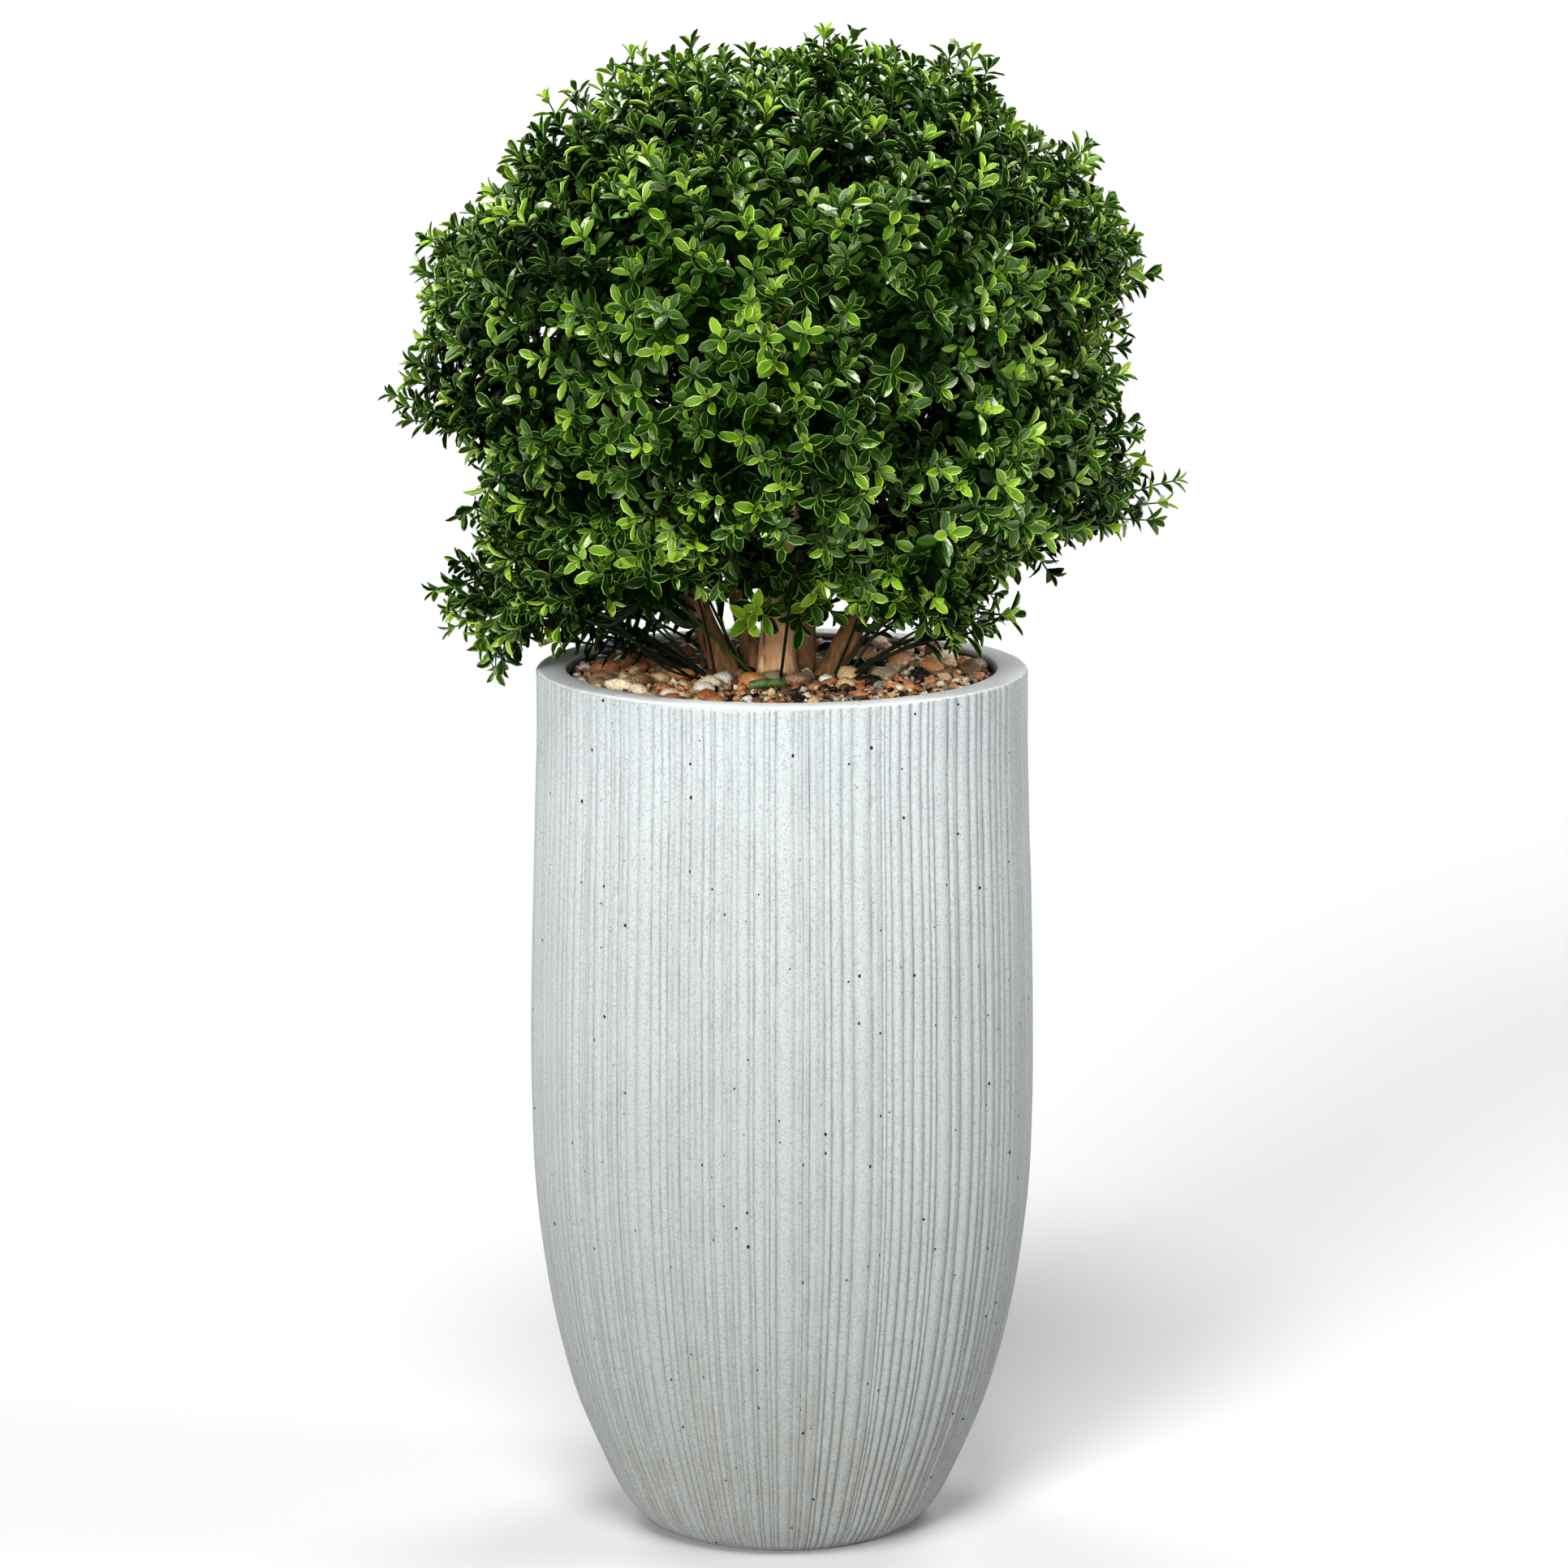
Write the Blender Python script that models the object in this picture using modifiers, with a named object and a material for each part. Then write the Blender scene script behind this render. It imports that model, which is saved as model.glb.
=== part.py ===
"""Artificial boxwood ball in a tall fibre-stone planter.

Five natural wood stems stand in a bed of river gravel. Dark green branches leave them and carry
a clipped ball of box foliage, made as masses that each keep to their own space. The origin is
the centre of the planter's underside, +Z is up and the front of the planter faces -Y.
"""

import math
import random

import bmesh
import bpy
from mathutils import Matrix, Vector

CLEARANCE = 0.0003  # between solids that touch
MERGE = 0.0001

# Planter: a turned shell with a thick rim and a shallow foot set back under its lower edge.
PLANTER_SIDES = 36
RIM_HEIGHT = 0.814
RIM_WIDTH = 0.028
RIM_ROUNDING = 0.003
RIM_DEPTH = 0.040  # of the thickened part of the wall
WALL = 0.012
FLOOR = 0.018
FOOT_HEIGHT = 0.004
FOOT_RADIUS = 0.126
# Outer radius and height, from under the rim down to the lower edge.
PLANTER_OUTLINE = (
    (0.2265, 0.811),
    (0.2265, 0.750),
    (0.2295, 0.652),
    (0.2330, 0.531),
    (0.2340, 0.409),
    (0.2300, 0.312),
    (0.2170, 0.215),
    (0.1975, 0.134),
    (0.1720, 0.069),
    (0.1525, 0.028),
    (0.1335, FOOT_HEIGHT),
)

# Gravel over a light filling.
GRAVEL_TOP = RIM_HEIGHT - 0.010
GRAVEL_DEPTH = 0.030

# Wood stems: the route of each from the gravel to its tip, and its radius at foot and tip.
STEM_SIDES = 8
STEM_FLARE = 1.18  # how much wider a stem is where it meets the gravel
FLARE_HEIGHT = 0.022
STEMS = {
    "stem_centre": (
        ((-0.004, -0.004, 0.804), (-0.002, -0.007, 0.880), (0.002, -0.004, 0.960),
         (0.003, 0.000, 1.050), (0.002, 0.002, 1.150)),
        0.0180, 0.0075,
    ),
    "stem_back": (
        ((0.021, 0.025, 0.804), (0.024, 0.032, 0.900), (0.029, 0.042, 1.000),
         (0.034, 0.054, 1.075)),
        0.0105, 0.0060,
    ),
    "stem_left": (
        ((-0.050, 0.000, 0.804), (-0.081, -0.004, 0.877), (-0.108, -0.007, 0.950),
         (-0.118, -0.008, 0.985)),
        0.0130, 0.0075,
    ),
    "stem_right": (
        ((0.042, 0.004, 0.804), (0.077, 0.001, 0.872), (0.106, -0.002, 0.945),
         (0.117, -0.003, 0.985)),
        0.0120, 0.0070,
    ),
    "stem_rear_left": (
        ((-0.024, 0.028, 0.804), (-0.043, 0.050, 0.880), (-0.058, 0.075, 0.950),
         (-0.066, 0.088, 0.990)),
        0.0095, 0.0065,
    ),
}

# Foliage: each tier is a ring of masses round the axis. A mass is a core with shoots standing
# out of it. Its row holds the stem that its branch leaves, the height where it does, the bearing
# from +X, the distance from the axis, the height of its middle and the radius of its core.
MASSES = {
    "mass_top": ("stem_centre", None, 0, 0.000, 1.196, 0.122),
    "mass_upper_right": ("stem_back", 1.035, 18, 0.158, 1.172, 0.120),
    "mass_upper_back": ("stem_back", 1.060, 90, 0.160, 1.172, 0.120),
    "mass_upper_left": ("stem_centre", 1.060, 162, 0.160, 1.172, 0.120),
    "mass_upper_front_left": ("stem_centre", 1.035, 234, 0.158, 1.168, 0.120),
    "mass_upper_front_right": ("stem_centre", 1.010, 306, 0.158, 1.172, 0.120),
    "mass_middle_back_right": ("stem_right", 0.935, 30, 0.194, 1.030, 0.110),
    "mass_middle_back": ("stem_back", 0.960, 90, 0.192, 1.030, 0.110),
    "mass_middle_back_left": ("stem_rear_left", 0.955, 150, 0.194, 1.030, 0.110),
    "mass_middle_front_left": ("stem_left", 0.955, 210, 0.196, 1.030, 0.110),
    "mass_middle_front": ("stem_centre", 0.940, 270, 0.190, 1.036, 0.106),
    "mass_middle_front_right": ("stem_right", 0.960, 330, 0.196, 1.022, 0.110),
    "mass_lower_right": ("stem_right", 0.870, 354, 0.192, 0.922, 0.070),
    "mass_lower_back_right": ("stem_back", 0.865, 56, 0.178, 0.922, 0.070),
    "mass_lower_back_left": ("stem_rear_left", 0.870, 122, 0.180, 0.920, 0.070),
    "mass_lower_left": ("stem_left", 0.880, 180, 0.205, 0.906, 0.074),
    "mass_lower_front_left": ("stem_left", 0.855, 226, 0.190, 0.900, 0.070),
    "mass_lower_front_right": ("stem_right", 0.850, 316, 0.184, 0.905, 0.070),
}
MASS_GAP = 0.0012  # between neighbouring masses
CORE_UNEVENNESS = 0.09
BRANCH_SIDES = 6
BRANCH_RADIUS = (0.0060, 0.0042)  # at the stem and at the mass
BRANCH_SAG = 0.06  # as a share of its length
SOCKET = 0.012  # how far a branch runs into its mass

# Shoots, and the leaves that stand on them in opposite pairs.
SHOOT_TRIES = 19  # directions tried from the middle of each mass
SHOOT_REACH = 0.016  # beyond the core
SHOOT_ROOT = 0.6  # how far out in the core a shoot begins, as a share of its radius
SHOOT_RADIUS = (0.0026, 0.0016)
SHOOT_LIFT = 0.012  # how far a shoot turns upwards by its tip
SHOOT_SPREAD = 0.15  # how far a shoot strays from its even direction
LEAF_PAIRS = 2
TIP_PAIR = 0.003  # from a shoot's tip down to its last pair
LEAF_LENGTH = 0.058
LEAF_WIDTH = 0.031
LEAF_THICKNESS = 0.0026
LEAF_ANGLE = math.radians(60)  # from the shoot
LEAF_ROOT = 0.0010  # how far a leaf's root runs past the middle of its shoot
LEAF_CUP = 0.2  # how far a leaf's sides turn up, as a share of its width
LEAF_BELLY = 0.06  # how far past its middle a leaf is widest, as a share of its length
LEAF_SIZES = (0.86, 1.12)  # smallest and largest, as shares of the usual leaf
LIMB_MARGIN = 0.003  # kept between leaves and limbs
PLANTER_MARGIN = 0.006  # kept between leaves and planter
# The crown's furthest tips: to the left, to the right and at the top.
LEADER_TIPS = ((-0.372, -0.020, 1.068), (0.382, -0.010, 0.985), (0.040, -0.010, 1.402))


def principled(name, colour, roughness):
    """A plain non-metallic material."""
    material = bpy.data.materials.new(name)
    material.use_nodes = True
    shader = material.node_tree.nodes["Principled BSDF"]
    shader.inputs["Base Color"].default_value = (*colour, 1.0)
    shader.inputs["Roughness"].default_value = roughness
    shader.inputs["Metallic"].default_value = 0.0
    return material


def add_object(name, mesh, collection, material=None):
    """Links a mesh to a collection as one named object."""
    obj = bpy.data.objects.new(name, mesh)
    collection.objects.link(obj)
    if material:
        mesh.materials.clear()
        mesh.materials.append(material)
    return obj


def turned(name, profile, collection, material):
    """A body of revolution. The profile runs down its outer side and starts and ends on Z."""
    mesh = bpy.data.meshes.new(name)
    edges = [(i, i + 1) for i in range(len(profile) - 1)]
    mesh.from_pydata([(radius, 0.0, height) for radius, height in profile], edges, [])
    obj = add_object(name, mesh, collection, material)
    screw = obj.modifiers.new("Turn", "SCREW")
    screw.axis = "Z"
    screw.steps = screw.render_steps = PLANTER_SIDES
    screw.use_merge_vertices = True
    screw.merge_threshold = MERGE
    screw.use_smooth_shade = True
    return obj


def smooth_route(points, pieces):
    """Points along a Catmull-Rom curve through the given ones, with so many to each span."""
    knots = [Vector(p) for p in points]
    knots = [2 * knots[0] - knots[1], *knots, 2 * knots[-1] - knots[-2]]
    route = []
    for a, b, c, d in zip(knots, knots[1:], knots[2:], knots[3:]):
        for i in range(pieces):
            t = i / pieces
            route.append(
                0.5 * (2 * b + (c - a) * t + (2 * a - 5 * b + 4 * c - d) * t**2
                       + (3 * b - a - 3 * c + d) * t**3)
            )
    route.append(knots[-2])
    return route


def limb_mesh(name, route, radii, sides, extra=0.0, ground=None):
    """A tapering limb along a route, swollen by extra on every side, cut level at the ground."""
    route = [p.copy() for p in route]
    if ground is not None:
        route.insert(0, route[0] + (route[0] - route[1]).normalized() * 2 * radii[0])
        radii = [radii[0], *radii]
        route[0].z -= extra
    end = (route[-1] - route[-2]).normalized()
    route[-1] += end * extra
    curve = bpy.data.curves.new(name, "CURVE")
    curve.dimensions = "3D"
    curve.bevel_depth = 1.0
    curve.bevel_resolution = sides // 2 - 2
    curve.use_fill_caps = True
    spline = curve.splines.new("POLY")
    spline.points.add(len(route) - 1)
    for point, place, radius in zip(spline.points, route, radii):
        point.co = (*place, 1.0)
        point.radius = radius + extra / math.cos(math.pi / sides)
    obj = bpy.data.objects.new(name, curve)
    bpy.context.scene.collection.objects.link(obj)
    mesh = evaluated_mesh(obj)
    bpy.data.objects.remove(obj)
    bpy.data.curves.remove(curve)
    bm = bmesh.new()
    bm.from_mesh(mesh)
    bmesh.ops.remove_doubles(bm, verts=bm.verts, dist=MERGE)
    if ground is not None:
        cut = bmesh.ops.bisect_plane(
            bm, geom=[*bm.verts, *bm.edges, *bm.faces], plane_co=(0, 0, ground),
            plane_no=(0, 0, 1), clear_inner=True,
        )
        rim = [e for e in cut["geom_cut"] if isinstance(e, bmesh.types.BMEdge)]
        bmesh.ops.edgenet_fill(bm, edges=rim)
    bmesh.ops.recalc_face_normals(bm, faces=bm.faces)
    bm.to_mesh(mesh)
    bm.free()
    return mesh


def evaluated_mesh(obj):
    """The object's mesh with its modifiers applied."""
    depsgraph = bpy.context.evaluated_depsgraph_get()
    return bpy.data.meshes.new_from_object(obj.evaluated_get(depsgraph))


def add_boolean(obj, collection, operation):
    """A Boolean with every object of a collection."""
    boolean = obj.modifiers.new(operation.title(), "BOOLEAN")
    boolean.operation = operation
    boolean.operand_type = "COLLECTION"
    boolean.collection = collection
    boolean.solver = "MANIFOLD"
    return boolean


def main_body(mesh):
    """Keeps the largest closed body of a mesh: scraps go, and sealed hollows are filled."""
    bm = bmesh.new()
    bm.from_mesh(mesh)
    unseen = set(bm.faces)
    bodies = []
    while unseen:
        body, queue = [], [unseen.pop()]
        while queue:
            face = queue.pop()
            body.append(face)
            for edge in face.edges:
                for other in edge.link_faces:
                    if other in unseen:
                        unseen.remove(other)
                        queue.append(other)
        volume = 0.0
        for face in body:
            first = face.verts[0].co
            for b, c in zip(face.verts[1:], face.verts[2:]):
                volume += first.dot(b.co.cross(c.co)) / 6
        bodies.append((volume, body))
    bodies.sort(key=lambda pair: pair[0])
    loose = [face for _, body in bodies[:-1] for face in body]
    if loose:
        bmesh.ops.delete(bm, geom=loose, context="FACES")
    bm.to_mesh(mesh)
    bm.free()
    return mesh


def apply_modifiers(obj, material):
    """Applies the object's modifiers and keeps its main body in one material."""
    raw = obj.data
    obj.data = main_body(evaluated_mesh(obj))
    obj.modifiers.clear()
    obj.data.materials.clear()
    obj.data.materials.append(material)
    bpy.data.meshes.remove(raw)


def new_collection(name, hidden=False):
    collection = bpy.data.collections.new(name)
    bpy.context.scene.collection.children.link(collection)
    collection.hide_render = hidden
    return collection


def segment_distance(point, a, b):
    """How far a point lies from a straight piece of limb."""
    along = b - a
    t = max(0.0, min(1.0, (point - a).dot(along) / along.length_squared))
    return (point - a - along * t).length


def outline_radius(height):
    """The planter's outer radius at a height within its outline."""
    for (upper, top), (lower, bottom) in zip(PLANTER_OUTLINE, PLANTER_OUTLINE[1:]):
        if bottom <= height <= top:
            return lower + (upper - lower) * (height - bottom) / (top - bottom)


def remove_all(collection):
    """Removes a collection with its objects and their meshes."""
    for obj in list(collection.objects):
        mesh = obj.data
        bpy.data.objects.remove(obj)
        bpy.data.meshes.remove(mesh)
    bpy.data.collections.remove(collection)


# The scene starts empty.
for old in list(bpy.data.objects):
    bpy.data.objects.remove(old)

part = new_collection("Potted boxwood ball")
cutters = new_collection("Cutters", hidden=True)

stone = principled("fibre_stone", (0.66, 0.71, 0.71), 0.75)
gravel = principled("river_gravel", (0.21, 0.14, 0.08), 0.45)
foam = principled("light_filling", (0.30, 0.28, 0.24), 0.9)
wood = principled("stem_wood", (0.26, 0.14, 0.06), 0.7)
branch_green = principled("branch_green", (0.012, 0.035, 0.012), 0.45)
leaf_green = principled("leaf_green", (0.035, 0.09, 0.015), 0.4)

# Planter, from the middle of its floor inside, up and over the rim, and down to the foot.
inner_radius = PLANTER_OUTLINE[0][0] - RIM_WIDTH
lip_height = RIM_HEIGHT - RIM_DEPTH
inside = [(r - WALL, z) for r, z in PLANTER_OUTLINE if FLOOR < z < lip_height - WALL]
inside = [(outline_radius(FLOOR) - WALL, FLOOR), *reversed(inside)]
rim = [
    (inner_radius, lip_height),
    (inner_radius, RIM_HEIGHT - RIM_ROUNDING),
    (inner_radius + RIM_ROUNDING, RIM_HEIGHT),
    (PLANTER_OUTLINE[0][0] - RIM_ROUNDING, RIM_HEIGHT),
]
foot = [(FOOT_RADIUS, FOOT_HEIGHT), (FOOT_RADIUS, 0.0), (0.0, 0.0)]
turned("planter", [(0.0, FLOOR), *inside, *rim, *PLANTER_OUTLINE, *foot], part, stone)

# The filling and the gravel fill it to just under the rim.
gap = CLEARANCE / math.cos(math.pi / PLANTER_SIDES)
gravel_base = GRAVEL_TOP - GRAVEL_DEPTH
filling_top = gravel_base - CLEARANCE
filling = [(r - gap, z) for r, z in reversed(inside)]
filling[-1] = (filling[-1][0], FLOOR + CLEARANCE)
slope = (filling_top - inside[-1][1]) / (lip_height - inside[-1][1])
shoulder = inside[-1][0] + (inner_radius - inside[-1][0]) * slope - 2 * gap
turned(
    "filling", [(0.0, filling_top), (shoulder, filling_top), *filling, (0.0, FLOOR + CLEARANCE)],
    part, foam,
)
turned(
    "gravel_bed",
    [(0.0, GRAVEL_TOP), (inner_radius - gap, GRAVEL_TOP), (inner_radius - gap, gravel_base),
     (0.0, gravel_base)],
    part, gravel,
)

# Stems.
limbs = []  # (start, end, radius) of each straight piece, which leaves keep clear of
stem_routes = {}
for name, (points, foot_radius, tip_radius) in STEMS.items():
    route = smooth_route(points, 2)
    route[0].z = GRAVEL_TOP
    span = points[-1][2] - GRAVEL_TOP
    radii = []
    for place in route:
        height = place.z - GRAVEL_TOP
        radius = foot_radius + (tip_radius - foot_radius) * height / span
        flare = max(0.0, 1 - height / FLARE_HEIGHT)
        radii.append(radius * (1 + (STEM_FLARE - 1) * flare))
    stem_routes[name] = route
    mesh = limb_mesh(name, route, radii, STEM_SIDES, ground=GRAVEL_TOP + CLEARANCE)
    add_object(name, mesh, part, wood)
    clear = limb_mesh(name, route, radii, STEM_SIDES, extra=CLEARANCE, ground=GRAVEL_TOP - 0.01)
    cutter = add_object("clear_of_" + name, clear, cutters)
    cutter.hide_render = True
    cutter.display_type = "WIRE"
    limbs += zip(route, route[1:], radii)

# Branches: each leaves the middle of its stem, is cut to the stem's side and ends in its mass.
stem_cutters = new_collection("Stem cutters", hidden=True)
for obj in cutters.objects:
    stem_cutters.objects.link(obj)
middles = {}
for name, (stem, height, bearing, distance, middle_height, radius) in MASSES.items():
    turn = math.radians(bearing)
    middle = Vector((distance * math.cos(turn), distance * math.sin(turn), middle_height))
    middles[name] = middle
    if height is None:
        continue
    route = stem_routes[stem]
    start = min(route, key=lambda p: abs(p.z - height))
    for a, b in zip(route, route[1:]):
        if a.z <= height <= b.z:
            start = a.lerp(b, (height - a.z) / (b.z - a.z))
    out = start - middle
    end = middle + out.normalized() * (radius - SOCKET)
    halfway = start.lerp(end, 0.5) - Vector((0, 0, BRANCH_SAG * out.length))
    branch = smooth_route([start, halfway, end], 1)
    first, last = BRANCH_RADIUS
    radii = [first + (last - first) * i / (len(branch) - 1) for i in range(len(branch))]
    label = name.replace("mass", "branch")
    obj = add_object(label, limb_mesh(label, branch, radii, BRANCH_SIDES), part, branch_green)
    add_boolean(obj, stem_cutters, "DIFFERENCE").solver = "EXACT"
    apply_modifiers(obj, branch_green)
    clear = limb_mesh(label, branch, radii, BRANCH_SIDES, extra=CLEARANCE)
    cutter = add_object("clear_of_" + label, clear, cutters)
    cutter.hide_render = True
    cutter.display_type = "WIRE"
    limbs += zip(branch, branch[1:], radii)


def cell_planes(name):
    """The planes between a mass and its neighbours, as a point and a normal that leaves it."""
    middle, size = middles[name], MASSES[name][5]
    planes = []
    for other, place in middles.items():
        if other != name:
            apart = place - middle
            share = 0.5 + (size**2 - MASSES[other][5] ** 2) / (2 * apart.length_squared)
            normal = apart.normalized()
            planes.append((middle + apart * share - normal * MASS_GAP / 2, normal))
    return planes


def core_mesh(name, planes, rng):
    """An uneven ball cut off flat at the planes."""
    middle, size = middles[name], MASSES[name][5]
    bm = bmesh.new()
    bmesh.ops.create_icosphere(bm, subdivisions=2, radius=size, matrix=Matrix.Translation(middle))
    for vert in bm.verts:
        vert.co = middle + (vert.co - middle) * (1 + rng.uniform(-1, 1) * CORE_UNEVENNESS)
    for point, normal in planes:
        cut = bmesh.ops.bisect_plane(
            bm, geom=[*bm.verts, *bm.edges, *bm.faces], plane_co=point, plane_no=normal,
            clear_outer=True,
        )
        edges = [e for e in cut["geom_cut"] if isinstance(e, bmesh.types.BMEdge)]
        if edges:
            bmesh.ops.edgenet_fill(bm, edges=edges)
    bmesh.ops.recalc_face_normals(bm, faces=bm.faces)
    mesh = bpy.data.meshes.new(name)
    bm.to_mesh(mesh)
    bm.free()
    return mesh


def shoot_mesh(start, end):
    """A three-sided tapering shoot."""
    along = end - start
    bm = bmesh.new()
    bmesh.ops.create_cone(
        bm, cap_ends=True, segments=3, radius1=SHOOT_RADIUS[0], radius2=SHOOT_RADIUS[1],
        depth=along.length,
        matrix=Matrix.Translation((start + end) / 2) @ along.to_track_quat("Z", "Y").to_matrix().to_4x4(),
    )
    mesh = bpy.data.meshes.new("shoot")
    bm.to_mesh(mesh)
    bm.free()
    return mesh


def leaf_mesh(root, along, across, length, width):
    """A leaf of eight faces: root, tip, two sides, and a ridge above and below."""
    bm = bmesh.new()
    bmesh.ops.create_uvsphere(bm, u_segments=4, v_segments=2, radius=0.5)
    up = along.cross(across)
    for vert in bm.verts:
        x, y, z = vert.co
        place = root + along * ((0.5 + z) * length - LEAF_ROOT)
        if abs(z) < 0.25:
            place += along * LEAF_BELLY * length
        cup = abs(x) * LEAF_CUP * width
        vert.co = place + across * x * width + up * (y * LEAF_THICKNESS + cup)
    mesh = bpy.data.meshes.new("leaf")
    bm.to_mesh(mesh)
    bm.free()
    return mesh


def has_room(points, planes):
    """True if all the points lie in the mass's space, off the limbs and off the planter."""
    for p in points:
        if any((p - point).dot(normal) > 0 for point, normal in planes):
            return False
        if p.z < RIM_HEIGHT + PLANTER_MARGIN:
            return False
        if any(segment_distance(p, a, b) < r + LIMB_MARGIN for a, b, r in limbs):
            return False
    return True


def grow_shoot(middle, size, direction, reach, planes, growth, rng):
    """One shoot with its pairs of leaves. Returns the number of leaves."""
    inner = middle + direction * size * SHOOT_ROOT
    tip = middle + direction * (size + reach) + Vector((0, 0, SHOOT_LIFT))
    if not has_room([middle.lerp(tip, 0.9), tip], planes):
        return 0
    along = (tip - inner).normalized()
    side = along.orthogonal().normalized()
    side.rotate(Matrix.Rotation(rng.uniform(0, math.tau), 3, along))
    leaves = []
    for pair in range(LEAF_PAIRS):
        # Each pair stands further down the shoot than the last, turned a quarter and opened wider.
        back = pair / (LEAF_PAIRS - 1)
        root = tip - along * (TIP_PAIR + back * (0.55 * reach + TIP_PAIR))
        spread = LEAF_ANGLE * (0.75 + 0.35 * back) * rng.uniform(0.9, 1.1)
        for sign in (-1, 1):
            out = side * sign
            pointing = (along * math.cos(spread) + out * math.sin(spread)).normalized()
            across = along.cross(out).normalized()
            scale = rng.uniform(*LEAF_SIZES)
            mesh = leaf_mesh(root, pointing, across, LEAF_LENGTH * scale, LEAF_WIDTH * scale)
            if has_room([v.co for v in mesh.vertices], planes):
                leaves.append(mesh)
            else:
                bpy.data.meshes.remove(mesh)
        side.rotate(Matrix.Rotation(math.radians(90), 3, along))
    if leaves:
        add_object("shoot", shoot_mesh(inner, tip), growth)
        for mesh in leaves:
            add_object("leaf", mesh, growth)
    return len(leaves)


# Masses: a core, the shoots that leave its middle on all open sides, and their leaves, joined
# by one union and then cut clear of the stems and branches.
for number, (name, row) in enumerate(MASSES.items()):
    rng = random.Random(100 + number)
    size = row[5]
    middle = middles[name]
    planes = cell_planes(name)
    growth = new_collection(name + " growth")
    for i in range(SHOOT_TRIES):
        z = 1 - (2 * i + 1) / SHOOT_TRIES
        turn = i * math.pi * (3 - math.sqrt(5)) + number
        ring = math.sqrt(1 - z * z)
        direction = Vector((ring * math.cos(turn), ring * math.sin(turn), z))
        direction += Vector([rng.uniform(-SHOOT_SPREAD, SHOOT_SPREAD) for _ in range(3)])
        reach = SHOOT_REACH * rng.uniform(0.75, 1.25)
        grow_shoot(middle, size, direction.normalized(), reach, planes, growth, rng)
    for tip in map(Vector, LEADER_TIPS):
        if all((tip - point).dot(normal) < 0 for point, normal in planes):
            out = tip - Vector((0, 0, SHOOT_LIFT)) - middle
            reach = out.length - size - LEAF_LENGTH * math.cos(LEAF_ANGLE * 0.75)
            grow_shoot(middle, size, out.normalized(), reach, planes, growth, rng)
    core = add_object(name, core_mesh(name, planes, rng), part)
    add_boolean(core, growth, "UNION")
    add_boolean(core, cutters, "DIFFERENCE")
    apply_modifiers(core, leaf_green)
    remove_all(growth)
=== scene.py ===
"""Artificial boxwood ball on natural wood stems, in a tall ribbed planter topped with gravel."""

import math
import random

import bmesh
import bpy
import numpy as np
from mathutils import Matrix, Vector, noise


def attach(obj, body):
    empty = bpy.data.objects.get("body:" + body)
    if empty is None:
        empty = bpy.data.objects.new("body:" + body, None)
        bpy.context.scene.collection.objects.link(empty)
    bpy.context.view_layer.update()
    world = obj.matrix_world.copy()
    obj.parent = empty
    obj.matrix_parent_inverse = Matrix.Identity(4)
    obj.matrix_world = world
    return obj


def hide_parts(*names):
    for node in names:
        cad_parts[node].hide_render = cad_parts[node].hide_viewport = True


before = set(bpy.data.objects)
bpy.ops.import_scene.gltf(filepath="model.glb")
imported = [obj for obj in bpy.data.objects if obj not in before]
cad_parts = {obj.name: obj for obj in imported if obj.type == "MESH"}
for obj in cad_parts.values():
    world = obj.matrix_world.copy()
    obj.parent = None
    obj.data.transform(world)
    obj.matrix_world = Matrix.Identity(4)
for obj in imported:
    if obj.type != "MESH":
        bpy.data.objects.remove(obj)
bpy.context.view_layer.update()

# --- Planter
# A tall tapering shell of cast fibre and stone powder, taken from a mould with combed upright
# ribs. The rim is left smooth, the ribs end in scallops just under it, and the shell stands on a
# shallow foot set back under its lower edge.

RIM_HEIGHT = 0.814
RIM_INNER = 0.1985
RIM_OUTER = 0.2265
FOOT_RADIUS = 0.126
LOWER_EDGE = 0.004
PLANTER_OUTLINE = (
    (0.1335, 0.004), (0.1525, 0.028), (0.1720, 0.069), (0.1975, 0.134), (0.2170, 0.215),
    (0.2300, 0.312), (0.2340, 0.409), (0.2330, 0.531), (0.2295, 0.652), (0.2265, 0.750),
    (0.2265, 0.811),
)
RIBS = 190
RIB_COLUMNS = (0.0, 0.08, 0.26, 0.50, 0.74, 0.92)  # across a rib, from groove to groove
RIB_RELIEF = 0.0032
RIB_WIDTHS = (0.35, 0.5, 0.7, 0.9, 1.0, 1.2, 1.5)
GROOVE_DEPTHS = (0.45, 0.6, 0.8, 1.0)
SPLIT_RIBS = 0.22  # the share of ribs with a finer groove down the middle
SWAY = 0.004  # how far a rib wanders, in radians
RIB_END = 0.0062  # how far below the rim the ribs stop at the front
BOLD_BEARING = math.radians(-52)  # where the comb bit deepest
FRONT_BEARING = math.radians(270)  # where the ribs stop short of the rim
FIBRE_STONE = (0.549, 0.590, 0.595)
# painted shade: the wall darkens towards the foot, as light from above falls off
PAINTED_FOOT_SHADE = (0.158, 0.164, 0.145)
# painted light: the top of the rim, made lighter as if lit from above
PAINTED_RIM_LIGHT = (0.905, 0.920, 0.912)
# dark grain, and the painted shade in the grooves and on the rib flanks
FIBRE_STONE_GRAIN_AND_GROOVE_SHADE = (0.150, 0.163, 0.166)
STREAK = (0.340, 0.378, 0.390)
MOTTLE = (0.405, 0.442, 0.447)
DARK_GRAIN = (0.100, 0.096, 0.080)
# dirt and painted shade, low down and most in the grooves
DIRT_AND_FOOT_SHADE = (0.205, 0.185, 0.135)
SPECK = (0.160, 0.155, 0.150)
PIT = (0.006, 0.005, 0.005)


def operator(operation, turned=False):
    """A method that writes one sum into a finish, the other way round when turned."""
    def method(self, other):
        pair = {0: other, 1: self} if turned else {0: self, 1: other}
        return self.finish.add("ShaderNodeMath", pair, operation=operation)
    return method


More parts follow.
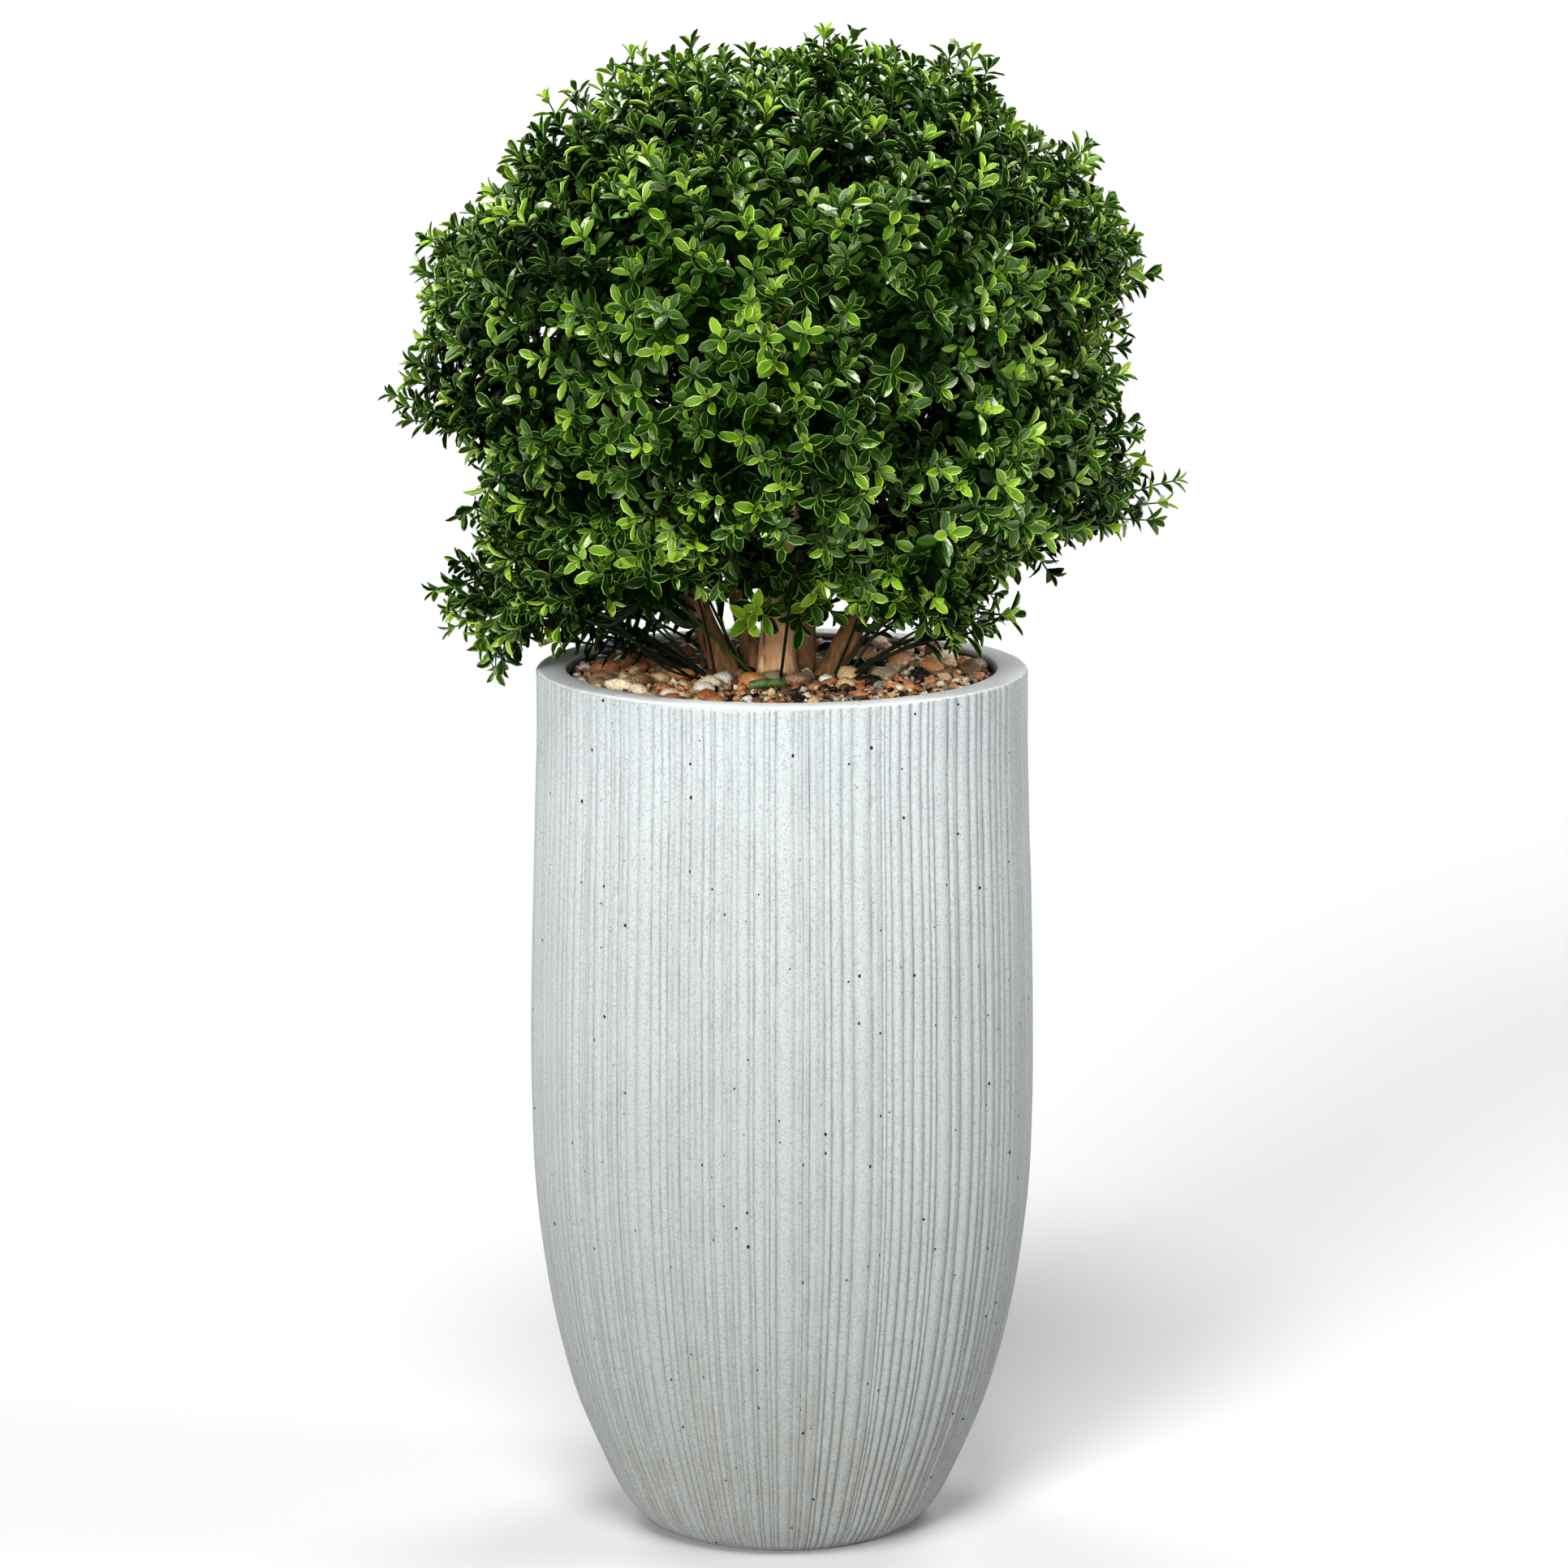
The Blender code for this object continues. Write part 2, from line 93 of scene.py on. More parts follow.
class Signal:
    """A value in a finish that sums and products can be written with."""

    def __init__(self, finish, socket):
        self.finish, self.socket = finish, socket

    __add__ = __radd__ = operator("ADD")
    __sub__ = operator("SUBTRACT")
    __rsub__ = operator("SUBTRACT", turned=True)
    __mul__ = __rmul__ = operator("MULTIPLY")
    __pow__ = operator("POWER")
    __lt__ = operator("LESS_THAN")
    __gt__ = operator("GREATER_THAN")

    def ramp(self, low, high):
        """0 at low and 1 at high, smoothed, and level outside them."""
        return self.finish.add(
            "ShaderNodeMapRange", {"Value": self, "From Min": low, "From Max": high},
            interpolation_type="SMOOTHSTEP",
        )


class Finish:
    """A surface finish: one Principled shader and the nodes that feed it."""

    def __init__(self, name, colour, roughness, **constants):
        self.material = bpy.data.materials.new(name)
        self.material.use_nodes = True
        self.tree = self.material.node_tree
        self.shader = self.tree.nodes["Principled BSDF"]
        self.set("Base Color", colour)
        self.set("Roughness", roughness)
        for key, value in constants.items():
            self.set(key.replace("_", " "), value)

    def set(self, key, value, node=None):
        socket = (node or self.shader).inputs[key]
        if isinstance(value, Signal):
            self.tree.links.new(value.socket, socket)
        elif socket.type == "RGBA":
            socket.default_value = (*value[:3], 1.0)
        else:
            socket.default_value = value

    def add(self, kind, sockets=None, output=0, **settings):
        node = self.tree.nodes.new(kind)
        for key, value in settings.items():
            setattr(node, key, value)
        for key, value in (sockets or {}).items():
            self.set(key, value, node)
        return Signal(self, node.outputs[output])

    def place(self, stretch=(1.0, 1.0, 1.0)):
        """The point on the object, in metres, with its axes stretched."""
        point = self.add("ShaderNodeTexCoord", output="Object")
        return self.add("ShaderNodeVectorMath", {0: point, 1: stretch}, operation="MULTIPLY")

    def height(self):
        return self.add("ShaderNodeSeparateXYZ", {0: self.place()}, output="Z")

    def cloud(self, scale, detail=2.0, stretch=(1.0, 1.0, 1.0), rough=0.5):
        """Soft noise from 0 to 1 with so many lumps to the metre."""
        return self.add(
            "ShaderNodeTexNoise",
            {"Vector": self.place(stretch), "Scale": scale, "Detail": detail, "Roughness": rough},
        )

    def dots(self, scale, stretch, channel):
        """How far the nearest dot is, in dot spacings, and a number from 0 to 1 of that dot's."""
        cells = {"Vector": self.place(stretch), "Scale": scale}
        colour = self.add("ShaderNodeTexVoronoi", cells, output="Color")
        return (self.add("ShaderNodeTexVoronoi", cells, output="Distance"),
                self.add("ShaderNodeSeparateXYZ", {0: colour}, output=channel))

    def paint(self, colour, *layers):
        """Lays colours over a first one in turn, each as (share, colour)."""
        for share, over in layers:
            sockets = {0: share, 6: colour, 7: over}
            colour = self.add("ShaderNodeMix", sockets, output=2, data_type="RGBA")
        self.set("Base Color", colour)

    def bump(self, height, distance, strength=1.0):
        normal = self.add(
            "ShaderNodeBump", {"Height": height, "Distance": distance, "Strength": strength}
        )
        self.set("Normal", normal)


def metres(spot):
    """A point given in millimetres."""
    return Vector([part / 1000 for part in spot])


def smooth_line(points, pieces):
    """Points along a Catmull-Rom curve through the given ones, with so many to each span."""
    knots = [Vector(p) for p in points]
    knots = [2 * knots[0] - knots[1], *knots, 2 * knots[-1] - knots[-2]]
    line = []
    for a, b, c, d in zip(knots, knots[1:], knots[2:], knots[3:]):
        for i in range(pieces):
            t = i / pieces
            line.append(
                0.5 * (2 * b + (c - a) * t + (2 * a - 5 * b + 4 * c - d) * t**2
                       + (3 * b - a - 3 * c + d) * t**3)
            )
    line.append(knots[-2])
    return line


def put(name, data):
    """Puts a new object in the scene."""
    thing = bpy.data.objects.new(name, data)
    bpy.context.scene.collection.objects.link(thing)
    return thing


def add_piece(name, mesh, finishes, replaces=()):
    """Puts a finished mesh in the scene as a piece of the standing plant."""
    piece = put(name, mesh)
    for finish in finishes:
        mesh.materials.append(finish.material)
    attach(piece, "root")
    if replaces:
        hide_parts(*replaces)


def finished_mesh(name, bm):
    mesh = bpy.data.meshes.new(name)
    bm.to_mesh(mesh)
    bm.free()
    return mesh


def turned_mesh(name, profile, steps):
    """Spins a profile of radii and heights round Z, with its faces pointing out."""
    bm = bmesh.new()
    verts = [bm.verts.new((radius, 0.0, height)) for radius, height in profile]
    edges = [bm.edges.new(pair) for pair in zip(verts, verts[1:])]
    bmesh.ops.spin(
        bm, geom=[*verts, *edges], cent=(0, 0, 0), axis=(0, 0, 1), angle=math.tau,
        steps=steps, use_merge=True,
    )
    bmesh.ops.remove_doubles(bm, verts=bm.verts, dist=0.00001)
    bmesh.ops.recalc_face_normals(bm, faces=bm.faces)
    for face in bm.faces:
        face.smooth = True
    return finished_mesh(name, bm)


outer = [(p.x, p.z) for p in smooth_line([(r, 0.0, z) for r, z in PLANTER_OUTLINE[:-1]], 4)]
outer += [(RIM_OUTER, RIM_HEIGHT - drop) for drop in (
    0.050, 0.035, 0.022, 0.014, 0.0095, 0.0080, 0.0068, 0.0057, 0.0047, 0.0038, 0.0030, 0.0023)]
rim_round = [
    (RIM_OUTER - 0.0006, 0.8125), (RIM_OUTER - 0.0018, 0.8136), (RIM_OUTER - 0.0035, RIM_HEIGHT),
    (RIM_INNER + 0.0140, RIM_HEIGHT + 0.0002), (RIM_INNER + 0.0030, RIM_HEIGHT),
    (RIM_INNER + 0.0014, 0.8135), (RIM_INNER + 0.0004, 0.8124), (RIM_INNER, 0.8100),
]
inside = [(RIM_INNER, 0.774), (0.2145, 0.745), (0.2050, 0.300), (0.1200, 0.018), (0.0, 0.018)]
foot = [(0.0, 0.0), (FOOT_RADIUS - 0.001, 0.0), (FOOT_RADIUS, 0.001), (FOOT_RADIUS, 0.0035),
        (0.1310, 0.0037)]
steps = RIBS * len(RIB_COLUMNS)
shell = turned_mesh("planter_shell", [*foot, *outer, *rim_round, *inside], steps)

# Each rib gets its own width and depth, and some are split by a finer groove.
rng = random.Random(7)
widths, bold = [], []
for i in range(RIBS):
    boldness = 0.5 + 0.5 * math.cos(i / RIBS * math.tau - BOLD_BEARING)
    boldness = min(1.0, max(0.0, boldness**2 + 0.35 * noise.noise(Vector((i * 0.13, 0, 0)))))
    bold.append(boldness)
    widths.append(rng.choice(RIB_WIDTHS) * (0.9 + 0.45 * boldness))
depths = [rng.uniform(0.65, 1.0) * min(1.0, 0.15 + 0.7 * w) * (0.46 + 0.56 * b)
          for w, b in zip(widths, bold)]
ends = [rng.uniform(0.0, 0.15) + math.exp(-((i / RIBS * math.tau - FRONT_BEARING) / 0.50) ** 2)
        for i in range(RIBS)]
starts = np.concatenate([[0.0], np.cumsum(widths)]) / sum(widths) * math.tau
turns, reliefs, shades, rib_ends = [], [], [], []
for i in range(RIBS):
    split = rng.random() < SPLIT_RIBS
    groove_depth = rng.choice(GROOVE_DEPTHS)
    for j, share in enumerate(RIB_COLUMNS):
        turns.append(starts[i] + (starts[i + 1] - starts[i]) * share)
        flat = (0.8 * (1 - groove_depth), 0.66, 0.93, 0.6 if split else 1.0, 0.93, 0.66)[j]
        rounded = (0.0, 0.30, 0.78, 0.7 if split else 1.0, 0.78, 0.30)[j]
        reliefs.append((flat * (1 - bold[i]) + rounded * bold[i]) * depths[i])
        # painted shade: each groove line and the flanks of a rib are darkened, the flanks more on
        # bold ribs
        side = 0.06 + 0.25 * bold[i]
        shades.append(groove_depth * min(1.0, 0.4 + 0.55 * widths[i]) if j == 0
                      else side if j in (1, 5) else 0.45 * (split and j == 3))
        rib_ends.append(ends[i] * RIB_END)
turns, reliefs, shades, rib_ends = map(np.array, (turns, reliefs, shades, rib_ends))

points = np.empty(len(shell.vertices) * 3, np.float32)
shell.vertices.foreach_get("co", points)
points = points.reshape(-1, 3)
radius = np.hypot(points[:, 0], points[:, 1])
column = np.round(np.arctan2(points[:, 1], points[:, 0]) / (math.tau / steps)).astype(int) % steps
height = points[:, 2]
wall = [*outer, *rim_round[:2]]
on_wall = (radius > np.interp(height, [z for _, z in wall], [r for r, _ in wall]) - 0.0008)
on_wall &= (height > LOWER_EDGE - 0.0001) & (height < RIM_HEIGHT - 0.0002)
top = RIM_HEIGHT + 0.0010 - rib_ends[column]
fade = np.clip((top - height) / 0.0016 + 1.0, 0, 1) * np.clip((height - LOWER_EDGE) / 0.006, 0.25, 1)
sway = np.array([noise.noise(Vector((c * 0.07, z * 6.0, 0.0))) for c, z in zip(column, height)])
wobble = np.array([noise.noise(Vector((c * 0.9, z * 14.0, 5.0))) for c, z in zip(column, height)])
lift = np.where(on_wall, reliefs[column] * fade * (1 + 0.25 * wobble), 0.0)
turn = turns[column] + np.where(on_wall, sway * SWAY, 0.0)
radius = radius + (lift - np.where(on_wall, 0.3 * fade, 0.0)) * RIB_RELIEF
points[:, 0], points[:, 1] = radius * np.cos(turn), radius * np.sin(turn)
shell.vertices.foreach_set("co", points.ravel())
# the painted shade of the grooves and rib flanks, kept on the points for the finish
shade = shell.attributes.new("groove_shade", "FLOAT", "POINT")
shade.data.foreach_set("value", np.where(on_wall, shades[column] * fade, 0.0).astype(np.float32))

# The colour is laid on in layers: streaks and mottle, painted shade in the grooves, the grain, a
# painted shade that darkens towards the foot, dirt and painted shade low down, specks, painted light
# on the smooth rim and last the pits.
stone = Finish("fibre stone", FIBRE_STONE, 0.8, Specular_IOR_Level=0.35)
groove_shade = stone.add("ShaderNodeAttribute", output="Fac", attribute_name="groove_shade")
z = stone.height()
mottle = stone.cloud(9, 4)
streak = stone.cloud(260, 3, (1, 1, 0.03))
broken = stone.cloud(70, 4, (1, 1, 0.30), 0.7)
grain = stone.cloud(430, 4, rough=0.80)
sand = stone.cloud(1500)
pit_gap, pit_pick = stone.dots(100.0, (1, 1, 0.8), "X")
holed = stone.cloud(10).ramp(0.36, 0.42)
pit = (pit_gap + 0.05 * grain < 0.054 + 0.120 * pit_pick**3) * holed
speck_gap, speck_pick = stone.dots(330.0, (1, 1, 1), "Y")
speck = (speck_gap < 0.20) * (speck_pick > 0.90) * stone.cloud(25).ramp(0.40, 0.55)
# darker towards the foot: this mask brings in darker grain, and the dirt and painted shade low down
low = 1 - z.ramp(0.02, 0.40)
# the top of the rim, where the painted light goes
smooth = z.ramp(RIM_HEIGHT - 0.0022, RIM_HEIGHT - 0.0008)
stone.paint(
    FIBRE_STONE,
    (streak.ramp(0.46, 0.68) * 0.16, STREAK),
    (mottle.ramp(0.35, 0.7) * 0.16, MOTTLE),
    # painted shade in the grooves, broken along their length
    (groove_shade * (0.40 + 0.50 * broken.ramp(0.40, 0.60)), FIBRE_STONE_GRAIN_AND_GROOVE_SHADE),
    (grain.ramp(0.47, 0.67) * 0.54, FIBRE_STONE_GRAIN_AND_GROOVE_SHADE),
    # painted shade, darker towards the foot
    ((1 - z.ramp(0.06, 0.83)) ** 0.65 * 0.555, PAINTED_FOOT_SHADE),
    (low * grain.ramp(0.44, 0.62) * 0.22, DARK_GRAIN),
    # dirt and painted shade low down, most in the grooves
    (low * (0.08 + 0.9 * groove_shade) * broken.ramp(0.30, 0.60), DIRT_AND_FOOT_SHADE),
    (speck * 0.75, SPECK),
    # painted light on the rim
    (smooth * (0.75 + 0.25 * mottle), PAINTED_RIM_LIGHT),
    (pit, PIT),
)
stone.set("Roughness", 0.70 + 0.2 * mottle)
stone.bump(0.8 * grain + 0.30 * sand + 0.25 * streak - 1.6 * pit - 0.7 * speck, 0.0020)
add_piece("planter_shell", shell, [stone], ["planter"])

# --- Filling and gravel
# Light foam blocks fill the planter to just under its rim. Over them lies a dark sheet, painted
# shade that shows in the gaps, under river gravel: smooth round pebbles about the stems and broken
# gravel towards the front. A thin dark edge of the sheet stands up inside the rim, painted shade by
# the wall.

GRAVEL_TOP = 0.804
PEBBLE_COLOURS = {
    "rust gravel": (0.400, 0.135, 0.042), "orange gravel": (0.580, 0.240, 0.075),
    "tan gravel": (0.700, 0.450, 0.210), "cream gravel": (0.940, 0.790, 0.530),
    "brown gravel": (0.260, 0.135, 0.060), "umber gravel": (0.110, 0.056, 0.027),
    "grey gravel": (0.270, 0.245, 0.195), "black gravel": (0.012, 0.009, 0.007),
    "olive gravel": (0.260, 0.230, 0.120), "pale gravel": (0.900, 0.830, 0.680),
}
COMMON = (5, 3, 5, 3, 6, 5, 2, 6, 3, 2)  # how often each colour comes
GAP_SHADE_COMMON = (0, 0, 0, 0, 1, 3, 0, 8, 0, 0)  # and among the stones underneath, mostly black for painted shade in the gaps
BLACK = 7
PAINTED_LIGHT_SWAPS = {5: 1, BLACK: 2}  # painted light: umber gives way to orange at the sides, and black to tan at the left, where the ball shades the gravel
SIDE_STONES = 0.07  # and how far from the middle the sides begin
GRAVEL_REACH = 0.1955
STONE_REACH = 0.42  # how far a stone reaches from its middle, as a share of its length
STONE_TILT = 0.35
DULL_STONE = 0.15  # stones darker than this have little gloss

foam = Finish("filling foam", (0.30, 0.28, 0.24), 0.9)
foam.bump(foam.cloud(300), 0.001)
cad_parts["filling"].material_slots[0].material = foam.material
# painted shade: a near black sheet under the stones, seen in the gaps between them
shade_sheet = Finish("gravel shade", (0.030, 0.022, 0.015), 0.8)
shade_sheet.paint((0.010, 0.007, 0.005), (shade_sheet.cloud(140, 3).ramp(0.4, 0.65), (0.050, 0.030, 0.016)))
shade_sheet.bump(shade_sheet.cloud(180, 3), 0.003)
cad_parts["gravel_bed"].material_slots[0].material = shade_sheet.material

edge_profile = [(0.1966, 0.800), (0.1966, 0.8092), (0.1970, 0.8100), (0.1978, 0.8100),
                (0.1982, 0.8092), (0.1982, 0.800), (0.1966, 0.800)]
# painted shade: a dark ring between the gravel and the inner wall
shade_sheet_edge = Finish("shade sheet edge", (0.020, 0.016, 0.012), 0.45)
shade_sheet_edge.set("Roughness", 0.35 + 0.3 * shade_sheet_edge.cloud(60))
add_piece("shade_sheet_edge", turned_mesh("shade_sheet_edge", edge_profile, 160), [shade_sheet_edge])


def stone_shape(seed, subdivisions, squash, roughness):
    """Points and faces of one stone of unit length."""
    bm = bmesh.new()
    bmesh.ops.create_icosphere(bm, subdivisions=subdivisions, radius=0.5)
    for vert in bm.verts:
        bump = noise.noise(vert.co * 2.2 + Vector((seed * 3.1, 0, 0)))
        vert.co *= 1 + roughness * bump
    bmesh.ops.scale(bm, vec=squash, verts=bm.verts)
    shape = [v.co[:] for v in bm.verts], [[v.index for v in f.verts] for f in bm.faces]
    bm.free()
    return np.array(shape[0]), np.array(shape[1])


def mesh_from_arrays(name, points, faces, finish_of_face, smooth=True):
    """One mesh from arrays of points and of faces, each array with equally many corners."""
    mesh = bpy.data.meshes.new(name)
    spots = np.concatenate(points).astype(np.float32)
    mesh.vertices.add(len(spots))
    mesh.vertices.foreach_set("co", spots.ravel())
    corners = [np.asarray(f, np.int32) for f in faces]
    sizes = np.concatenate([np.full(len(f), f.shape[1], np.int32) for f in corners])
    mesh.loops.add(int(sizes.sum()))
    mesh.loops.foreach_set("vertex_index", np.concatenate([f.ravel() for f in corners]))
    mesh.polygons.add(len(sizes))
    mesh.polygons.foreach_set("loop_start", np.concatenate([[0], np.cumsum(sizes)[:-1]]))
    mesh.polygons.foreach_set("material_index", np.concatenate(finish_of_face).astype(np.int32))
    mesh.polygons.foreach_set("use_smooth", np.full(len(sizes), smooth))
    mesh.update()
    mesh.validate()
    return mesh


STEM_FEET = ((-0.004, -0.004, 0.021), (0.021, 0.025, 0.012), (-0.050, 0.0, 0.0150),
             (0.042, 0.004, 0.014), (-0.024, 0.028, 0.011))  # where the stems stand, and radii
OFFCUT_SPOTS = ((-0.026, -0.084, 0.005), (-0.013, -0.084, 0.006), (0.000, -0.081, 0.005),
                (-0.013, -0.095, 0.004))  # kept clear of stones for the piece that lies there


def strew(rng, count, sizes, where, crowding, taken):
    """Lays stones one by one where they find room. Returns (x, y, size) of each."""
    laid = []
    for _ in range(count):
        size = rng.uniform(*sizes)
        reach = math.sqrt(rng.random()) * (GRAVEL_REACH - size * STONE_REACH)
        turn = rng.uniform(0, math.tau)
        x, y = reach * math.cos(turn), reach * math.sin(turn)
        if rng.random() > where(x, y):
            continue
        if any((x - a) ** 2 + (y - b) ** 2 < (r + size * STONE_REACH) ** 2
               for a, b, r in STEM_FEET + OFFCUT_SPOTS):
            continue
        if all((x - a) ** 2 + (y - b) ** 2 > (crowding * (s + size)) ** 2 for a, b, s in taken):
            laid.append((x, y, size))
            taken.append((x, y, size))
    return laid


def heap(name, rng, laid, shapes, lift, smooth, common=COMMON):
    """One mesh of many stones, each turned, tipped and coloured in its own way."""
    points, faces, finish_of_face, base = [], [], [], 0
    colours = [i for i, often in enumerate(common) for _ in range(often)]
    for x, y, size in laid:
        verts, corners = rng.choice(shapes)
        tips = [Matrix.Rotation(rng.uniform(-STONE_TILT, STONE_TILT), 3, axis) for axis in "XY"]
        spin = np.array(tips[0] @ tips[1] @ Matrix.Rotation(rng.uniform(0, math.tau), 3, "Z"))
        z = GRAVEL_TOP + size * rng.uniform(*lift)
        points.append(verts * size @ spin.T + (x, y, z))
        faces.append(corners + base)
        colour = rng.choice(colours)
        # painted light: lighter colours for stones at the sides, which lie in the ball's shadow
        if abs(x) > SIDE_STONES and common is COMMON and (x < 0 or colour != BLACK):
            colour = PAINTED_LIGHT_SWAPS.get(colour, colour)
        finish_of_face.append(np.full(len(corners), colour))
        base += len(verts)
    mesh = mesh_from_arrays(name, points, faces, finish_of_face, smooth)
    add_piece(name, mesh, stone_finishes)


stone_finishes = []
for name, tint in PEBBLE_COLOURS.items():
    wet = Finish(name, tint, 0.30, Specular_IOR_Level=0.2 if max(tint) < DULL_STONE else 0.9)
    vein = wet.cloud(420, 4, rough=0.7).ramp(0.46, 0.62)
    wet.paint(tint, (vein * 0.55, tuple(0.28 * part for part in tint)))
    wet.set("Roughness", 0.06 + 0.26 * wet.cloud(160))
    wet.bump(wet.cloud(520, 3), 0.0020, 0.9)
    stone_finishes.append(wet)

rng = random.Random(21)
taken = []


def pebble_ground(x, y):
    """Pebbles lie about the stems, behind them and down the left."""
    near = math.exp(-((math.hypot(x, y) - 0.03) / 0.05) ** 2) * (y > -0.06)
    return min(1.0, max(near, 0.9 * (y > 0.02), 0.55 * (x < -0.06)))


large = strew(rng, 900, (0.018, 0.032), pebble_ground, 0.42, taken)
middling = strew(rng, 2200, (0.009, 0.015), lambda x, y: 0.12 + 0.70 * pebble_ground(x, y), 0.44,
                 taken)
small = strew(rng, 12000, (0.0050, 0.0095), lambda x, y: 1.0, 0.41, taken)
under = strew(rng, 2600, (0.007, 0.011), lambda x, y: 1.0, 0.40, [])
round_shapes = [stone_shape(s, 2, (1.0, 0.78, 0.56), 0.40) for s in range(7)]
broken_shapes = [stone_shape(s + 20, 2, (1.0, 0.76, 0.70), 1.30) for s in range(8)]
chip_shapes = [stone_shape(s + 40, 1, (1.0, 0.74, 0.66), 1.10) for s in range(8)]
heap("river_pebbles", rng, large, round_shapes, (0.10, 0.22), True)
heap("gravel_stones", rng, middling, round_shapes + broken_shapes, (0.10, 0.30), True)
heap("gravel_chips", rng, small, broken_shapes[:3] + chip_shapes, (0.0, 0.40), False)
# the stones underneath are mostly black: painted shade in the gaps
heap("gravel_underlay", rng, under, chip_shapes, (-0.60, -0.25), False, GAP_SHADE_COMMON)

# --- Stems
# Five bare lengths of natural wood, set in the planter side by side. Each leans and tapers, is
# wider where it meets the gravel, and has dried with long upright cracks.

STEMS = {  # points from the foot up in millimetres, radii at the foot and top, and the wood
    "stem_centre": (
        ((-4, -4, 804), (-2, -7, 880), (2, -4, 960), (3, 0, 1050), (2, 2, 1150)),
        0.0180, 0.0075, "pale"),
    "stem_back": (
        ((21, 25, 804), (24, 32, 900), (29, 42, 1000), (34, 54, 1075)), 0.0105, 0.0060, "dark"),
    "stem_left": (
        ((-50, 0, 804), (-81, -4, 877), (-108, -7, 950), (-118, -8, 985)),
        0.0130, 0.0075, "dark"),
    "stem_right": (
        ((42, 4, 804), (77, 1, 872), (106, -2, 945), (117, -3, 985)), 0.0120, 0.0070, "dark"),
    "stem_rear_left": (
        ((-24, 28, 804), (-43, 50, 880), (-58, 75, 950), (-66, 88, 990)),
        0.0095, 0.0065, "dark"),
}
STEM_FLARE = 1.18
FLARE_HEIGHT = 0.022
WOODS = {  # face, shade and crack colours
    "pale": ((0.930, 0.600, 0.330), (0.480, 0.240, 0.100), (0.070, 0.026, 0.009)),
    "dark": ((0.285, 0.140, 0.052), (0.085, 0.037, 0.012), (0.010, 0.004, 0.002)),
}


def limb_bmesh(route, radii, sides, level_foot=False):
    """A limb drawn out ring by ring along its route from a circle, and closed at both ends."""
    bm = bmesh.new()
    heading = (route[1] - route[0]).normalized()
    facing = heading.orthogonal().normalized()
    frames = []
    for i, place in enumerate(route):
        ahead = (route[min(i + 1, len(route) - 1)] - route[max(i - 1, 0)]).normalized()
        if level_foot and i < 6:
            ahead = Vector((0, 0, 1)).lerp(ahead, i / 6).normalized()
        facing = (facing - ahead * facing.dot(ahead)).normalized()
        turn = Matrix((facing, ahead.cross(facing), ahead)).transposed().to_4x4()
        frames.append(Matrix.Translation(place) @ turn @ Matrix.Diagonal((*[radii[i]] * 3, 1)))
    bmesh.ops.create_circle(bm, cap_ends=True, segments=sides, radius=1.0, matrix=frames[0])
    ring = list(bm.edges)
    for before, after in zip(frames, frames[1:]):
        grown = bmesh.ops.extrude_edge_only(bm, edges=ring)["geom"]
        verts = [g for g in grown if isinstance(g, bmesh.types.BMVert)]
        ring = [e for e in grown if isinstance(e, bmesh.types.BMEdge) and all(
            v in set(verts) for v in e.verts)]
        bmesh.ops.transform(bm, matrix=after @ before.inverted(), verts=verts)
    bmesh.ops.contextual_create(bm, geom=ring)
    bmesh.ops.recalc_face_normals(bm, faces=bm.faces)
    for face in bm.faces:
        face.smooth = len(face.verts) == 4
    return bm


def nearest(route, point):
    return min(range(len(route)), key=lambda i: (route[i] - point).length_squared)


def wood(name, face_colour, shade, crack):
    """Dried wood: colour drawn out along the grain, and dark cracks the same way."""
    finish = Finish(name, face_colour, 0.7, Specular_IOR_Level=0.3)
    fine = finish.cloud(260, 4, (1, 1, 0.07), 0.6)
    broad = finish.cloud(70, 3, (1, 1, 0.16))
    blotch = finish.cloud(38, 3)
    split = finish.cloud(150, 2, (1, 1, 0.05), 0.4)
    cracks = (1 - split.ramp(0.30, 0.40)) * finish.cloud(30).ramp(0.35, 0.6)
    finish.paint(
        face_colour,
        (broad.ramp(0.42, 0.62) * 0.8, shade),
        (blotch.ramp(0.5, 0.68) * 0.55, shade),
        (fine.ramp(0.48, 0.66) * 0.55, shade),
        (cracks * 0.85, crack),
    )
    finish.set("Roughness", 0.62 + 0.25 * fine)
    finish.bump(0.7 * fine + 0.6 * broad - 1.4 * cracks, 0.0022)
    return finish


woods = {key: wood(key + " stem wood", *colours) for key, colours in WOODS.items()}
stem_routes, stem_radii = {}, {}
for name, (points, foot_radius, tip_radius, tone) in STEMS.items():
    coarse = smooth_line(map(metres, points), 2)
    route = smooth_line(coarse, max(6, int(90 / len(coarse))))
    span = points[-1][2] / 1000 - GRAVEL_TOP
    radii = []
    for place in route:
        rise = place.z - GRAVEL_TOP
        flare = max(0.0, 1 - rise / FLARE_HEIGHT)
        radius_here = foot_radius + (tip_radius - foot_radius) * rise / span
        radii.append(radius_here * (1 + (STEM_FLARE - 1) * flare**1.5))
    stem_routes[name], stem_radii[name] = route, radii
    # The foot stands level on the gravel, and the cracks start just over it.
    bm = limb_bmesh(route, radii, 36, level_foot=True)
    bm.normal_update()
    seed = Vector((len(name) * 1.7, 0, 0))
    moves = []
    for vert in bm.verts:
        i = nearest(route, vert.co)
        out = vert.co - route[i]
        turned = Vector((out.x * 130, out.y * 130, vert.co.z * 11)) + seed
        ridge = 1 - abs(noise.noise(turned)) * 2.2
        lump = noise.noise(vert.co * 38 + seed)
        twist = noise.noise(Vector((out.x * 330, out.y * 330, vert.co.z * 30)) + seed)
        depth = 0.08 * lump - 0.17 * max(0.0, ridge) ** 4 + 0.05 * twist
        moves.append(vert.normal * radii[i] * depth)
    for vert, move in zip(bm.verts, moves):
        if vert.co.z > GRAVEL_TOP + 0.0005:
            vert.co += move
    label = name + "_bark"
    add_piece(label, finished_mesh(label, bm), [woods[tone]], [name])

# --- Branches
# Dark green moulded plastic branches, wired to the stems. Each leaves its stem, sags a little and
# ends in its mass of foliage. Thin green wires fan out of the gravel beside the stems and carry
# the lowest sprigs.

